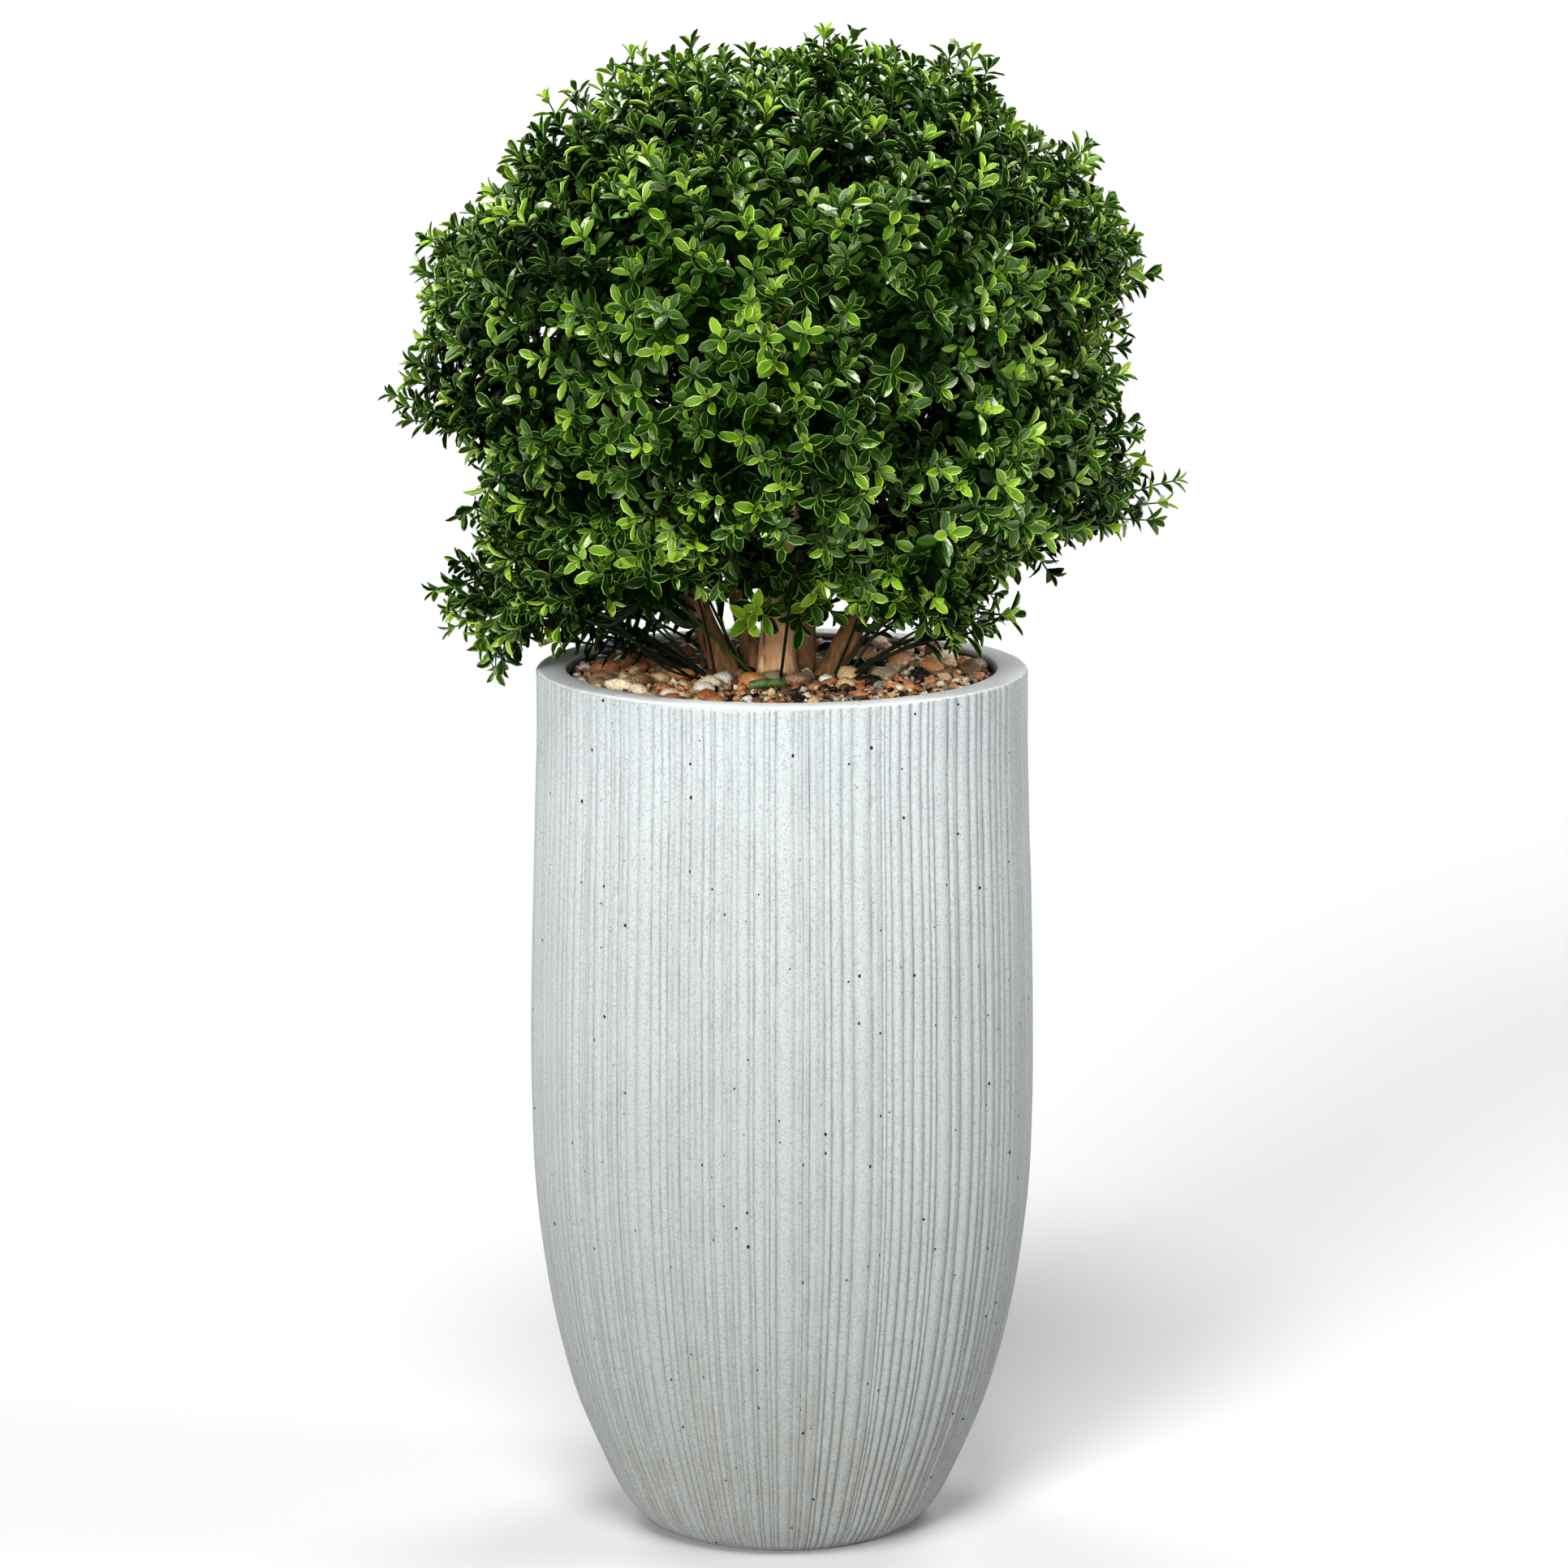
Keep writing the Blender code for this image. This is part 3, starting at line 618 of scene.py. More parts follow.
MASSES = {  # stem, height of the branch on it, and the bearing, distance, height and radius
    "top": ("stem_centre", None, 0, 0.000, 1.196, 0.122),
    "upper_right": ("stem_back", 1.035, 18, 0.158, 1.172, 0.120),
    "upper_back": ("stem_back", 1.060, 90, 0.160, 1.172, 0.120),
    "upper_left": ("stem_centre", 1.060, 162, 0.160, 1.172, 0.120),
    "upper_front_left": ("stem_centre", 1.035, 234, 0.158, 1.168, 0.120),
    "upper_front_right": ("stem_centre", 1.010, 306, 0.158, 1.172, 0.120),
    "middle_back_right": ("stem_right", 0.935, 30, 0.194, 1.030, 0.110),
    "middle_back": ("stem_back", 0.960, 90, 0.192, 1.030, 0.110),
    "middle_back_left": ("stem_rear_left", 0.955, 150, 0.194, 1.030, 0.110),
    "middle_front_left": ("stem_left", 0.955, 210, 0.196, 1.030, 0.110),
    "middle_front": ("stem_centre", 0.940, 270, 0.190, 1.036, 0.106),
    "middle_front_right": ("stem_right", 0.960, 330, 0.196, 1.022, 0.110),
    "lower_right": ("stem_right", 0.870, 354, 0.192, 0.922, 0.070),
    "lower_back_right": ("stem_back", 0.865, 56, 0.178, 0.922, 0.070),
    "lower_back_left": ("stem_rear_left", 0.870, 122, 0.180, 0.920, 0.070),
    "lower_left": ("stem_left", 0.880, 180, 0.205, 0.906, 0.074),
    "lower_front_left": ("stem_left", 0.855, 226, 0.190, 0.900, 0.070),
    "lower_front_right": ("stem_right", 0.850, 316, 0.184, 0.905, 0.070),
}
SOCKET = 0.012
BRANCH_RADIUS = (0.0044, 0.0038)
OFFCUT = ((-0.0290, -0.0820, 0.8090), (-0.0130, -0.0810, 0.8115), (0.0040, -0.0780, 0.8100))
BRANCH_SAG = 0.06
KNUCKLES, KNUCKLE_RISE = 6, 0.16
BRANCH_GREEN = (0.010, 0.026, 0.009)
OFFCUT_RADIUS = 0.0042
OFFCUT_GREEN = (0.085, 0.150, 0.030)

plastic = Finish("branch plastic", BRANCH_GREEN, 0.42, Specular_IOR_Level=0.25)
plastic.paint(BRANCH_GREEN, (plastic.cloud(120, 3).ramp(0.4, 0.7), (0.030, 0.062, 0.018)))
plastic.set("Roughness", 0.32 + 0.25 * plastic.cloud(200))
plastic.bump(plastic.cloud(500), 0.0006, 0.7)

# A short offcut of branch lies half buried in front of the stems.
offcut = smooth_line(OFFCUT, 6)
bm = limb_bmesh(offcut, [OFFCUT_RADIUS] * len(offcut), 12)
for vert in bm.verts:
    vert.co.x += 0.0008 * noise.noise(vert.co * 300)
cut_plastic = Finish("offcut plastic", OFFCUT_GREEN, 0.45)
cut_plastic.paint(OFFCUT_GREEN, (cut_plastic.cloud(200, 3).ramp(0.4, 0.65), (0.030, 0.060, 0.012)))
cut_plastic.bump(cut_plastic.cloud(600), 0.0006, 0.7)
add_piece("branch_offcut", finished_mesh("branch_offcut", bm), [cut_plastic])

hearts, branch_ends = {}, {}
for name, (stem, height, bearing, distance, level, size) in MASSES.items():
    turn = math.radians(bearing)
    heart = Vector((distance * math.cos(turn), distance * math.sin(turn), level))
    hearts[name] = heart
    branch_ends[name] = stem_routes["stem_centre"][-1]
    if height is None:
        continue
    route = stem_routes[stem]
    start = min(route, key=lambda p: abs(p.z - height))
    end = heart + (start - heart).normalized() * (size - SOCKET)
    halfway = start.lerp(end, 0.5) - Vector((0, 0, BRANCH_SAG * (start - heart).length))
    branch = smooth_line([start, halfway, end], 14)
    first, last = BRANCH_RADIUS
    radii = []
    for i in range(len(branch)):
        share = i / (len(branch) - 1)
        knuckle = KNUCKLE_RISE * max(0.0, math.cos(share * KNUCKLES * math.pi)) ** 8
        radii.append((first + (last - first) * share) * (0.92 + knuckle))
    bm = limb_bmesh(branch, radii, 14)
    for vert in bm.verts:
        vert.co += vert.normal * 0.0004 * noise.noise(vert.co * 160)
    label = f"branch_{name}_moulded"
    add_piece(label, finished_mesh(label, bm), [plastic], ["branch_" + name])
    branch_ends[name] = end


def tubes(name, limbs, sides, replaces=()):
    """Many thin limbs as one mesh. Each is (route, first radius, last radius, finish)."""
    points, faces, finish_of_face, base = [], [], [], 0
    around = np.arange(sides) * math.tau / sides
    circle = np.stack([np.cos(around), np.sin(around)], 1)
    step = np.arange(sides)
    for route, first, last, finish in limbs:
        line = np.array(route)
        ahead = np.gradient(line, axis=0)
        ahead /= np.linalg.norm(ahead, axis=1, keepdims=True)
        side = np.cross(ahead, (0.31, 0.22, 0.92) if abs(ahead[0, 2]) < 0.9 else (1.0, 0.1, 0.0))
        side /= np.linalg.norm(side, axis=1, keepdims=True)
        over = np.cross(ahead, side)
        radii = np.linspace(first, last, len(line))[:, None, None]
        rings = line[:, None] + radii * (
            circle[None, :, :1] * side[:, None] + circle[None, :, 1:] * over[:, None])
        points.append(rings.reshape(-1, 3))
        for i in range(len(line) - 1):
            a = base + i * sides
            quad = np.stack([a + step, a + (step + 1) % sides, a + sides + (step + 1) % sides,
                             a + sides + step], 1)
            faces.append(quad)
            finish_of_face.append(np.full(sides, finish))
        base += len(line) * sides
    mesh = mesh_from_arrays(name, points, faces, finish_of_face)
    add_piece(name, mesh, shoot_finishes, replaces)


WIRES = (  # foot of a fan of wires on the gravel, the mass that it feeds, and how many
    (-0.066, -0.014, "lower_left", 3), (-0.058, -0.020, "lower_front_left", 3),
    (0.056, -0.012, "lower_right", 2), (0.050, -0.020, "lower_front_right", 2),
    (-0.040, 0.044, "lower_back_left", 2), (0.036, 0.046, "lower_back_right", 2),
    (0.012, -0.030, "middle_front", 1), (-0.030, -0.020, "middle_front_left", 2),
)
rng = random.Random(11)
wires = []
for x, y, mass, number in WIRES:
    for _ in range(number):
        start = Vector((x + rng.uniform(-0.018, 0.018), y + rng.uniform(-0.010, 0.010),
                        GRAVEL_TOP - 0.004))
        end = hearts[mass] + Vector([rng.uniform(-0.045, 0.045) for _ in range(3)])
        halfway = start.lerp(end, 0.5) + Vector((rng.uniform(-0.01, 0.01), rng.uniform(-0.01, 0.01),
                                                 rng.uniform(-0.012, 0.022)))
        wires.append((smooth_line([start, halfway, end], 7), 0.0016, 0.0010, rng.randrange(3) // 2))
shoot_finishes = []
for name, tint in (("old shoot", (0.004, 0.012, 0.002)), ("green shoot", (0.022, 0.062, 0.008))):
    glossy = Finish(name, tint, 0.42, Specular_IOR_Level=0.2)
    glossy.set("Roughness", 0.30 + 0.2 * glossy.cloud(120))
    shoot_finishes.append(glossy)
tubes("green_wires", wires, 6)

# --- Foliage
# Each mass is a spray of moulded box foliage: twigs branch from its heart, shoots leave the twigs
# for the clipped surface of the ball, and glossy leaves stand on them in pairs, each a quarter
# turn from the last, with a close rosette at the tip. Old leaves are deep green; some tips are
# young and yellow green.

CROWN = (  # height, half width and shift to the right of each slice, in millimetres
    (1384, 30, 20), (1376, 105, 14), (1362, 164, 22), (1333, 212, 4), (1303, 238, 4),
    (1273, 274, 20), (1243, 294, 2), (1212, 320, -4), (1182, 344, -6), (1152, 330, -5),
    (1121, 330, -14), (1091, 324, -10), (1061, 330, -6), (1031, 314, 14), (1000, 306, 28),
    (970, 316, 34), (940, 286, 10), (910, 254, -40), (880, 272, -32), (850, 236, -52),
    (815, 230, -48), (850, 175, -30), (895, 130, 0), (935, 85, 0),
)
CROWN_TOP = 1.378
SKIRT_TOP = 0.962
SKIRTS = (  # bearing from the right, and how low the ball hangs there
    (0, 0.862), (45, 0.850), (90, 0.842), (120, 0.838), (150, 0.825), (180, 0.815), (200, 0.830),
    (215, 0.856), (235, 0.890), (250, 0.912), (270, 0.934), (288, 0.914), (305, 0.872),
    (325, 0.862), (360, 0.862),
)
SHOOTS = 2250
INNER_SHOOTS = 640
SPRAY = 5  # shoots to a twig
THIN_TOP, THIN_SIDES, TOP_HEIGHT = -0.50, -0.33, 1.22  # no shoot grows where noise is lower
STRAGGLERS = 0.07  # the share of shoots that stand out
SHADE_BELOW, SHADE_PER_METRE = 1.14, 1.25  # sprays are painted darker below this height, as shade under the ball, and by how much per metre
LEAF_PITCH = 0.0104
LEAF_LENGTH = 0.0218
LEAF_WIDTH = 0.0092
# Tips that stand well out of the ball, as in the photograph, in millimetres.
LEADERS = (
    (-368, -20, 1068), (-352, -30, 1045), (-345, 10, 1110), (376, -10, 985), (362, -20, 965),
    (352, -20, 948), (340, 0, 1040), (40, -10, 1404), (-58, 0, 1392), (12, 30, 1390),
    (84, -20, 1388), (-325, -30, 885), (-312, -50, 850), (-285, -40, 832), (-255, -50, 828),
    (-262, -80, 846), (268, -30, 892), (335, -50, 958), (190, -100, 858), (292, -20, 1280),
    (322, -30, 1200), (-275, -50, 1264), (-335, 0, 1185), (193, -40, 1376), (-218, -40, 1346),
    (-150, 0, 1362), (165, -30, 1366), (45, 0, 1394), (-4, -20, 1388),
)
LEAF_GREENS = {
    "old leaf": (0.0010, 0.0060, 0.0005), "deep leaf": (0.0025, 0.0140, 0.0008),
    "full leaf": (0.0048, 0.0230, 0.0007), "mid leaf": (0.0175, 0.0600, 0.0012),
    "fresh leaf": (0.096, 0.215, 0.005), "young leaf": (0.205, 0.370, 0.013),
}
# The gloss of each green and then of the two edges.
LEAF_GLOSS = (0.15, 0.28, 0.55, 0.80, 0.95, 0.95, 0.70, 0.70)
DULL_SHEEN, CLEAR_SHEEN = (0.55, 1.00, 0.22), (0.92, 1.00, 0.75)
DULL_GLOSS = 0.6  # leaves with less gloss than this have the dull sheen
EDGE_OF_TINT = (3, 6, 6, 6, 7, 7)  # finish of a leaf's rim for each of its greens
# pale leaf rims: partly the moulding's own lighter edge, partly a painted highlight where the edges
# catch the light
LEAF_EDGES_AND_HIGHLIGHTS = {"old leaf edge": (0.150, 0.270, 0.040), "young leaf edge": (0.48, 0.62, 0.12)}


def crown_targets(rng):
    """Points spread evenly over the clipped ball and its underside, with the way out at each."""
    line = np.array([(radius, z) for z, radius, _ in CROWN]) / 1000
    shifts = [shift / 1000 for *_, shift in CROWN]
    lengths = np.hypot(*np.diff(line, axis=0).T)
    areas = np.concatenate([[0], np.cumsum(lengths * (line[1:, 0] + line[:-1, 0]))])
    targets = []
    for k in range(SHOOTS):
        area = (k + 0.5) / SHOOTS * areas[-1]
        i = min(int(np.searchsorted(areas, area)) - 1, len(line) - 2)
        share = (area - areas[i]) / (areas[i + 1] - areas[i])
        radius, z = line[i] + (line[i + 1] - line[i]) * share
        slope = line[min(i + 2, len(line) - 1)] - line[max(i - 1, 0)]
        turn = k * math.pi * (3 - math.sqrt(5)) + rng.uniform(-0.03, 0.03) / max(radius, 0.05)
        out = Vector((-slope[1] * math.cos(turn), -slope[1] * math.sin(turn), slope[0])).normalized()
        if z < SKIRT_TOP:
            lowest = np.interp(math.degrees(turn) % 360, *zip(*SKIRTS))
            z = SKIRT_TOP - (SKIRT_TOP - z) * (SKIRT_TOP - lowest) / (SKIRT_TOP - 0.815)
        shift = shifts[i] + (shifts[i + 1] - shifts[i]) * share
        place = Vector((radius * math.cos(turn) + shift, radius * math.sin(turn), z))
        place += Vector([rng.uniform(-0.008, 0.008) for _ in range(3)])
        targets.append((place, out))
    return targets


def mass_of(point):
    """The mass whose space holds a point."""
    return min(hearts, key=lambda n: (point - hearts[n]).length_squared - MASSES[n][5] ** 2)


OPEN_PLACES = ((0.112, 0.888), (0.240, RIM_HEIGHT + 0.012))  # how far out and how high
FRONT_OPENING = (-0.044, 0.034, 0.964)  # left side, right side and height


def in_window(point):
    """Open places: round the bare stems, over the planter's rim, and before the centre stem."""
    x, y, z = point
    left, right, high = FRONT_OPENING
    if left < x < right and y < 0.0 and z < high:
        return True
    return any(math.hypot(x, y) < far and z < top for far, top in OPEN_PLACES)


def bent_shoot(start, heading, tip, out):
    """A shoot's line: it leaves its twig and turns out to its tip."""
    reach = (tip - start).length
    control = start + heading * reach * 0.35
    before_tip = tip - out * reach * 0.30
    line = []
    for i in range(7):
        t = i / 6
        line.append(
            start * (1 - t) ** 3 + control * 3 * t * (1 - t) ** 2
            + before_tip * 3 * t**2 * (1 - t) + tip * t**3
        )
    return line


def point_at(line, back):
    """The point and direction so far back from a line's end."""
    for a, b in zip(line[:0:-1], line[-2::-1]):
        length = (a - b).length
        if back <= length:
            return a.lerp(b, back / length), (a - b).normalized()
        back -= length
    return None


def leaf_template(stations, columns):
    """Shares along and across a leaf for each corner of its blade, the faces, and which are edge."""
    bm = bmesh.new()
    grid = bmesh.ops.create_grid(bm, x_segments=len(stations) - 1, y_segments=len(columns) - 1,
                                 size=1.0)
    places = []
    for vert in grid["verts"]:
        i = round((vert.co.x + 1) / 2 * (len(stations) - 1))
        j = round((vert.co.y + 1) / 2 * (len(columns) - 1))
        places.append((stations[i][0], columns[j], stations[i][1]))
    quads = np.array([[v.index for v in f.verts] for f in bm.faces])
    bm.free()
    across = np.array([p[1] for p in places])
    edge = (np.abs(across[quads]).mean(1) > 0.85).astype(int)
    return np.array(places), quads, edge


# Stations are the share along the leaf and its half width there.
fine_leaf = leaf_template(
    ((0.0, 0.10), (0.26, 0.58), (0.56, 1.00), (0.84, 0.80), (1.0, 0.22)),
    (-1.0, -0.82, 0.0, 0.82, 1.0),
)
plain_leaf = leaf_template(((0.0, 0.12), (0.28, 0.68), (0.60, 1.0), (0.88, 0.66), (1.0, 0.14)),
                           (-1.0, 0.0, 1.0))

leaf_finishes = []
for (name, tint), gloss in zip({**LEAF_GREENS, **LEAF_EDGES_AND_HIGHLIGHTS}.items(), LEAF_GLOSS):
    glossy = Finish(name, tint, 0.20, Specular_IOR_Level=gloss,
                    Specular_Tint=DULL_SHEEN if gloss < DULL_GLOSS else CLEAR_SHEEN)
    glossy.set("Roughness", 0.14 + 0.20 * glossy.cloud(90))
    glossy.bump(glossy.cloud(260), 0.0010, 0.30)
    leaf_finishes.append(glossy)


def leaves_mesh(name, leaves):
    """One mesh of leaves. Each is (template, root, along, across, up, length, width, cup, bend,
    finish)."""
    points, faces, finish_of_face, folds, base = [], [], [], [], 0
    for kind, (places, quads, edge) in enumerate((plain_leaf, fine_leaf)):
        chosen = [leaf for leaf in leaves if leaf[0] == kind]
        if not chosen:
            continue
        columns = [np.array(column) for column in zip(*chosen)]
        root, along, across, up = (column[:, None] for column in columns[1:5])
        length, width, cup, bend = (column[:, None, None] for column in columns[5:9])
        t, v, half = (places[:, i][None, :, None] for i in range(3))
        rise = cup * np.abs(v) ** 1.2 * half * width - bend * length * (t**2 - 0.25 * t)
        points.append((root + along * t * length + across * v * half * width / 2
                       + up * rise).reshape(-1, 3))
        offsets = base + np.arange(len(chosen))[:, None, None] * len(places)
        faces.append((quads[None] + offsets).reshape(-1, 4))
        tint = columns[9][:, None]
        on_edge = np.choose(tint, EDGE_OF_TINT)
        finish_of_face.append(np.where(edge[None] == 1, on_edge, tint).ravel())
        folds.append(np.tile(places[:, 1] == 0, len(chosen)))
        base += len(chosen) * len(places)
    mesh = mesh_from_arrays(name, points, faces, finish_of_face)
    fold = np.concatenate(folds)
    ends = np.empty(len(mesh.edges) * 2, np.int32)
    mesh.edges.foreach_get("vertices", ends)
    crease = mesh.attributes.new("sharp_edge", "BOOLEAN", "EDGE")
    crease.data.foreach_set("value", fold[ends].reshape(-1, 2).all(1))
    return mesh


def pair_of_leaves(leaves, root, ahead, side, spread, size, tint, fine, rng):
    """Two leaves face to face across a shoot."""
    for sign in (-1, 1):
        out = side * sign
        angle = spread * rng.uniform(0.86, 1.14)
        along = (ahead * math.cos(angle) + out * math.sin(angle)).normalized()
        across = ahead.cross(out).normalized()
        across.rotate(Matrix.Rotation(rng.uniform(-0.3, 0.3), 3, along))
        length = LEAF_LENGTH * size * rng.uniform(0.86, 1.12)
        own_tint = min(5, max(0, tint + rng.choice((-1, 0, 0, 0, 1))))
        leaves.append((
            int(fine), root[:], along[:], across[:], along.cross(across)[:], length,
            LEAF_WIDTH * size * rng.uniform(0.9, 1.12), rng.uniform(0.20, 0.42),
            rng.uniform(-0.06, 0.26), own_tint,
        ))


rng = random.Random(3)
targets = []
for place, out in crown_targets(rng):
    if in_window(place):
        continue
    thin = THIN_SIDES if place.z < TOP_HEIGHT else THIN_TOP
    if noise.noise(place * 17.0 + Vector((9, 0, 0))) < thin:
        continue
    depth = rng.triangular(-0.036, 0.010, -0.006)
    if rng.random() < STRAGGLERS:
        depth += rng.uniform(0.008, 0.024)
    clump = noise.noise(place * 9.0) * 0.016 + noise.noise(place * 21.0) * 0.026
    tip = place + out * (depth + clump - 0.011)
    tip.z = min(tip.z, CROWN_TOP)
    if not in_window(tip):
        targets.append((tip, out))
inner = crown_targets(rng)
for place, out in inner[:: len(inner) // INNER_SHOOTS]:
    tip = place - out * rng.uniform(0.045, 0.150)
    if not in_window(place) and not in_window(tip):
        targets.append((tip, out))
for spot in LEADERS:
    tip = metres(spot)
    away = (tip - Vector((0, 0, 1.06))).normalized()
    targets.append((tip - away * 0.014, away))


def clothe(leaves, line, mood, most, rng, tip_tint=None, grown=1.0):
    """Sets pairs of leaves along a shoot from its tip back, each a quarter turn from the last."""
    young = rng.random()
    tint = 0 if mood < 0.24 else 1 if mood < 0.56 else 2
    tint = min(3, tint + (rng.random() < 0.30))
    if tip_tint is None:
        tip_tint = 5 if young < 0.06 else 4 if young < 0.28 else min(3, tint + 1 + (young > 0.8))
    ahead = point_at(line, 0.001)[1]
    side = ahead.orthogonal().normalized()
    side.rotate(Matrix.Rotation(rng.uniform(0, math.tau), 3, ahead))
    size = rng.uniform(0.86, 1.12) * grown
    back = 0.0005
    for number in range(most):
        found = point_at(line, back)
        if not found:
            break
        root, ahead = found
        side = (side - ahead * side.dot(ahead)).normalized()
        order = min(number, 2)
        spread = (0.50, 0.92, 1.12)[order] + 0.02 * number
        shade = tip_tint if number < 2 else tint if number < 4 else max(0, tint - 1)
        if number == 2 and tip_tint > 3 and rng.random() < 0.5:
            shade = tip_tint - 1
        this_size = size * (0.72, 0.95, 1.0)[order]
        pair_of_leaves(leaves, root, ahead, side, spread, this_size, shade, number < 3, rng)
        side.rotate(Matrix.Rotation(math.pi / 2 + rng.uniform(-0.15, 0.15), 3, ahead))
        back += 0.0035 if number == 0 else LEAF_PITCH * rng.uniform(0.85, 1.15)


# Low shoots that leave the gravel or a stem: foot and tip in millimetres, pairs of leaves, and
# the green of the tip where it is a given one.
SPRIGS = (
    ((-6, -20, 852), (-23, -100, 882), 3, 5), ((-6, -20, 848), (-31, -94, 872), 3, 5),
    ((-4, -20, 850), (-20, -88, 876), 4, 3), ((10, -18, 858), (34, -86, 896), 3, 4),
    ((10, -18, 856), (29, -80, 885), 4, 3), ((6, -16, 890), (18, -62, 862), 6, 1),
    ((10, -14, 886), (46, -60, 874), 5, 2), ((0, -16, 892), (4, -66, 892), 5, 2),
    ((0, -16, 915), (-42, -70, 902), 6, 2), ((4, -14, 910), (54, -66, 902), 6, 1),
    ((-4, -14, 905), (-54, -50, 890), 6, 1), ((8, -12, 905), (64, -46, 890), 6, 2),
    ((2, -18, 912), (16, -78, 904), 6, 2), ((-2, -18, 910), (-12, -70, 908), 6, 1),
    ((-64, -20, 803), (-206, -50, 846), 8), ((-62, -16, 803), (-190, 0, 852), 8),
    ((-72, -6, 858), (-150, -30, 874), 7), ((-74, -8, 862), (-130, -64, 890), 7),
    ((-68, -14, 803), (-174, -56, 870), 8), ((-74, -4, 864), (-142, 4, 886), 7),
    ((-76, -6, 868), (-215, -36, 872), 9), ((-62, -24, 803), (-180, -86, 868), 9),
    ((-78, -8, 874), (-238, -52, 862), 9), ((-78, -10, 876), (-116, -90, 902), 7),
    ((-80, -8, 880), (-166, -100, 892), 8), ((-72, 4, 803), (-238, 10, 856), 9),
    ((56, -20, 803), (178, -66, 856), 8), ((68, -6, 856), (150, -20, 868), 8),
    ((70, -6, 862), (132, -60, 886), 7), ((60, -8, 803), (128, -10, 882), 7),
    ((56, -12, 803), (186, 20, 856), 8), ((72, -6, 866), (204, -54, 870), 9),
    ((74, -6, 872), (160, -92, 880), 8), ((60, -10, 803), (212, -10, 862), 9),
    ((-40, 46, 803), (-120, 130, 858), 8), ((-44, 40, 803), (-170, 90, 858), 8),
    ((36, 48, 803), (110, 140, 860), 8), ((42, 42, 803), (168, 96, 860), 8),
)
by_mass = {name: [] for name in MASSES}
for tip, out in targets:
    by_mass[mass_of(tip)].append((tip, out))

for name, tips in by_mass.items():
    heart, entry = hearts[name], branch_ends[name]
    leaves, limbs = [], []
    limbs.append(([entry, entry.lerp(heart, 0.35), entry.lerp(heart, 0.7)], 0.0042, 0.0034, 0))
    core = entry.lerp(heart, 0.7)
    waiting = list(tips)
    while waiting:
        # A spray takes a tip and its nearest neighbours, and one twig carries them.
        first = max(waiting, key=lambda t: (t[0] - heart).length)
        waiting.sort(key=lambda t: (t[0] - first[0]).length)
        spray, waiting = waiting[:SPRAY], waiting[SPRAY:]
        middle = sum((tip for tip, _ in spray), Vector()) / len(spray)
        knee = core.lerp(middle, 0.58)
        sag = Vector((rng.uniform(-0.01, 0.01), rng.uniform(-0.01, 0.01), rng.uniform(-0.018, 0.0)))
        twig = smooth_line([core, core.lerp(knee, 0.55) + sag, knee], 3)
        limbs.append((twig, 0.0026, 0.0017, 0))
        # painted shade: sprays low on the ball get darker greens
        mood = rng.random() + SHADE_PER_METRE * min(0.0, middle.z - SHADE_BELOW)
        push = rng.uniform(-0.014, 0.007)
        for tip, out in spray:
            tip = tip + out * push
            where, heading = point_at(twig, rng.uniform(0.0, 0.35) * (knee - core).length)
            lift = (out + Vector((0, 0, 0.25)) + 0.35 * (tip - where).normalized()).normalized()
            line = bent_shoot(where, heading, tip, lift)
            limbs.append((line, 0.0015, 0.0007, int(rng.random() < 0.6)))
            clothe(leaves, line, mood, 10, rng)
    for start, tip, pairs, *tip_tint in SPRIGS:
        start, tip = metres(start), metres(tip)
        if mass_of(tip) == name:
            rise = (Vector((tip.x, tip.y, tip.z + 0.04)) - start).normalized()
            aim = Vector((tip.x - start.x, tip.y - start.y, 0.35 * (tip.z - start.z)))
            line = bent_shoot(start, rise, tip, aim.normalized())
            limbs.append((line, 0.0019, 0.0010, 0))
            clothe(leaves, line, rng.uniform(0.3, 0.8), pairs, rng, *tip_tint, grown=1.1)
    label = "leaves_" + name
    add_piece(label, leaves_mesh(label, leaves), leaf_finishes, ["mass_" + name])
    tubes("twigs_" + name, limbs, 4, ["mass_" + name])

# --- Studio
# A wide floor of pale paper that sweeps up far behind, soft lights that are wide and far away, and
# the camera a little above the rim, looking down at the plant from five metres away.

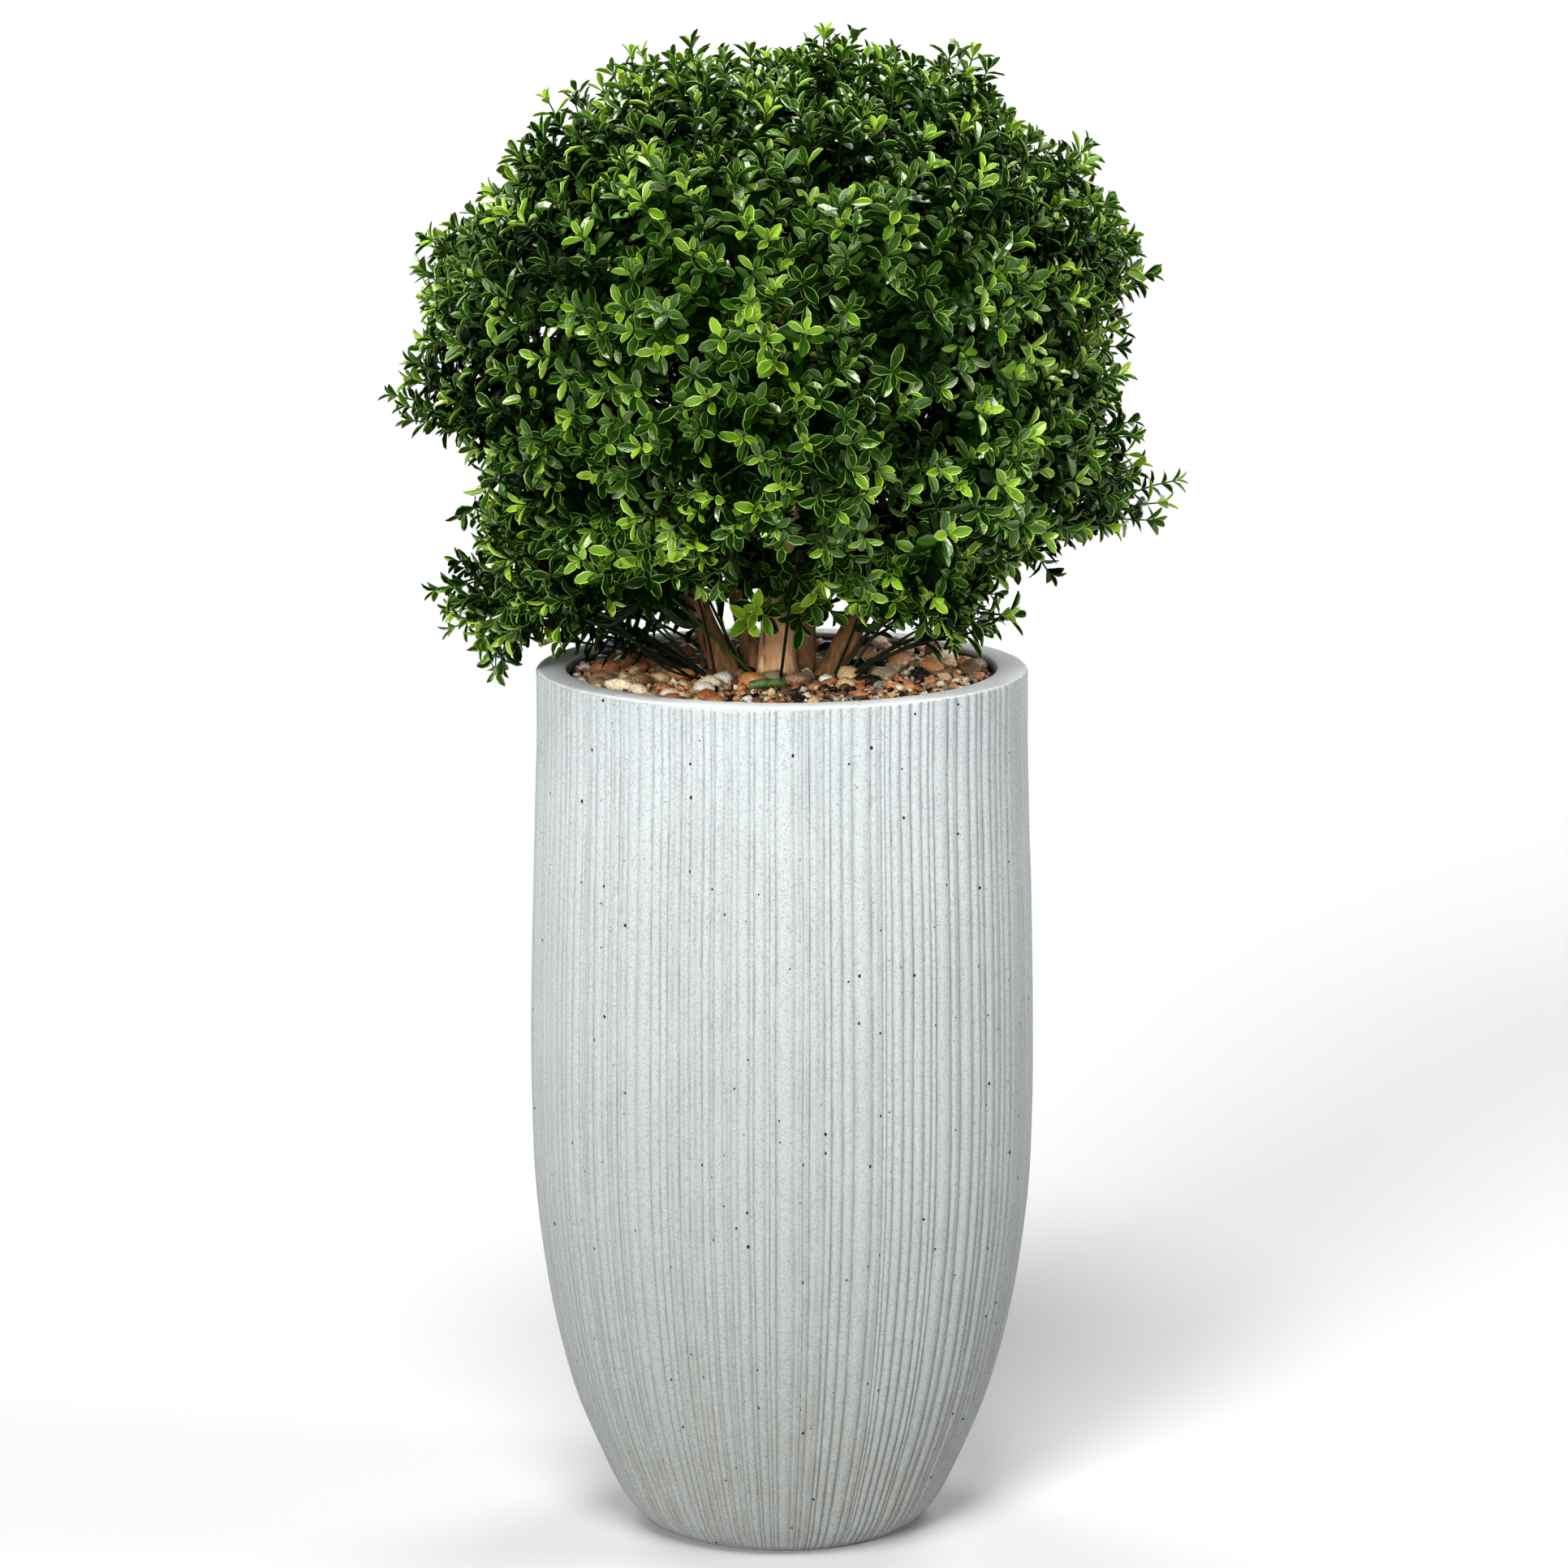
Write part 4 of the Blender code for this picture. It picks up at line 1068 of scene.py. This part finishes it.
SWEEP = ((0.0, 0.0), (12.0, 0.0), (46.0, 0.0), (52.0, 0.4), (56.5, 1.8), (59.0, 4.2), (60.0, 10.0))
SURROUND = 0.035
SENSOR = 36.0
FOCAL_PIXELS, FRAME_PIXELS = 6646, 1932  # the lens and the frame of the photograph
CAMERA_PLACE = (0.0022, -4.925, 1.634)
CAMERA_DIP = 10.71  # degrees down from level

floor = put("floor", turned_mesh("floor", SWEEP, 96))
floor.visible_shadow = False
paper = Finish("pale paper", (0.51, 0.51, 0.51), 0.9, Specular_IOR_Level=0.1)
paper.set("Roughness", 0.85 + 0.1 * paper.cloud(3))
floor.data.materials.append(paper.material)


def sunlight(name, bearing, elevation, strength, width):
    """A wide far light: bearing in degrees from the camera's side to the right, and its width."""
    turn, rise = math.radians(bearing), math.radians(elevation)
    away = Vector((math.sin(turn) * math.cos(rise), -math.cos(turn) * math.cos(rise),
                   math.sin(rise)))
    light = bpy.data.lights.new(name, "SUN")
    light.energy = strength
    light.angle = math.radians(width)
    lamp = put(name, light)
    lamp.location = away * 6
    lamp.rotation_euler = away.to_track_quat("Z", "Y").to_euler()


LIGHTS = (  # bearing, elevation, strength and width
    ("key", -27, 22, 3.2, 18), ("low", 0, 7, 0.86, 20), ("fill", 82, 24, 1.13, 16),
    ("top", -6, 61, 2.6, 20), ("back left", -145, 42, 1.4, 26), ("back right", 148, 42, 1.65, 26),
)
for light in LIGHTS:
    sunlight(*light)
world = bpy.data.worlds.new("studio")
world.use_nodes = True
surround = world.node_tree.nodes["Background"]
surround.inputs["Color"].default_value = (1.0, 1.0, 1.0, 1.0)
surround.inputs["Strength"].default_value = SURROUND
bpy.context.scene.world = world
bpy.context.scene.view_settings.view_transform = "Standard"

lens = bpy.data.cameras.new("camera")
lens.sensor_width = SENSOR
lens.lens = FOCAL_PIXELS / FRAME_PIXELS * SENSOR
camera = put("camera", lens)
camera.location = CAMERA_PLACE
camera.rotation_euler = (math.radians(90 - CAMERA_DIP), 0.0, 0.0)
bpy.context.scene.camera = camera
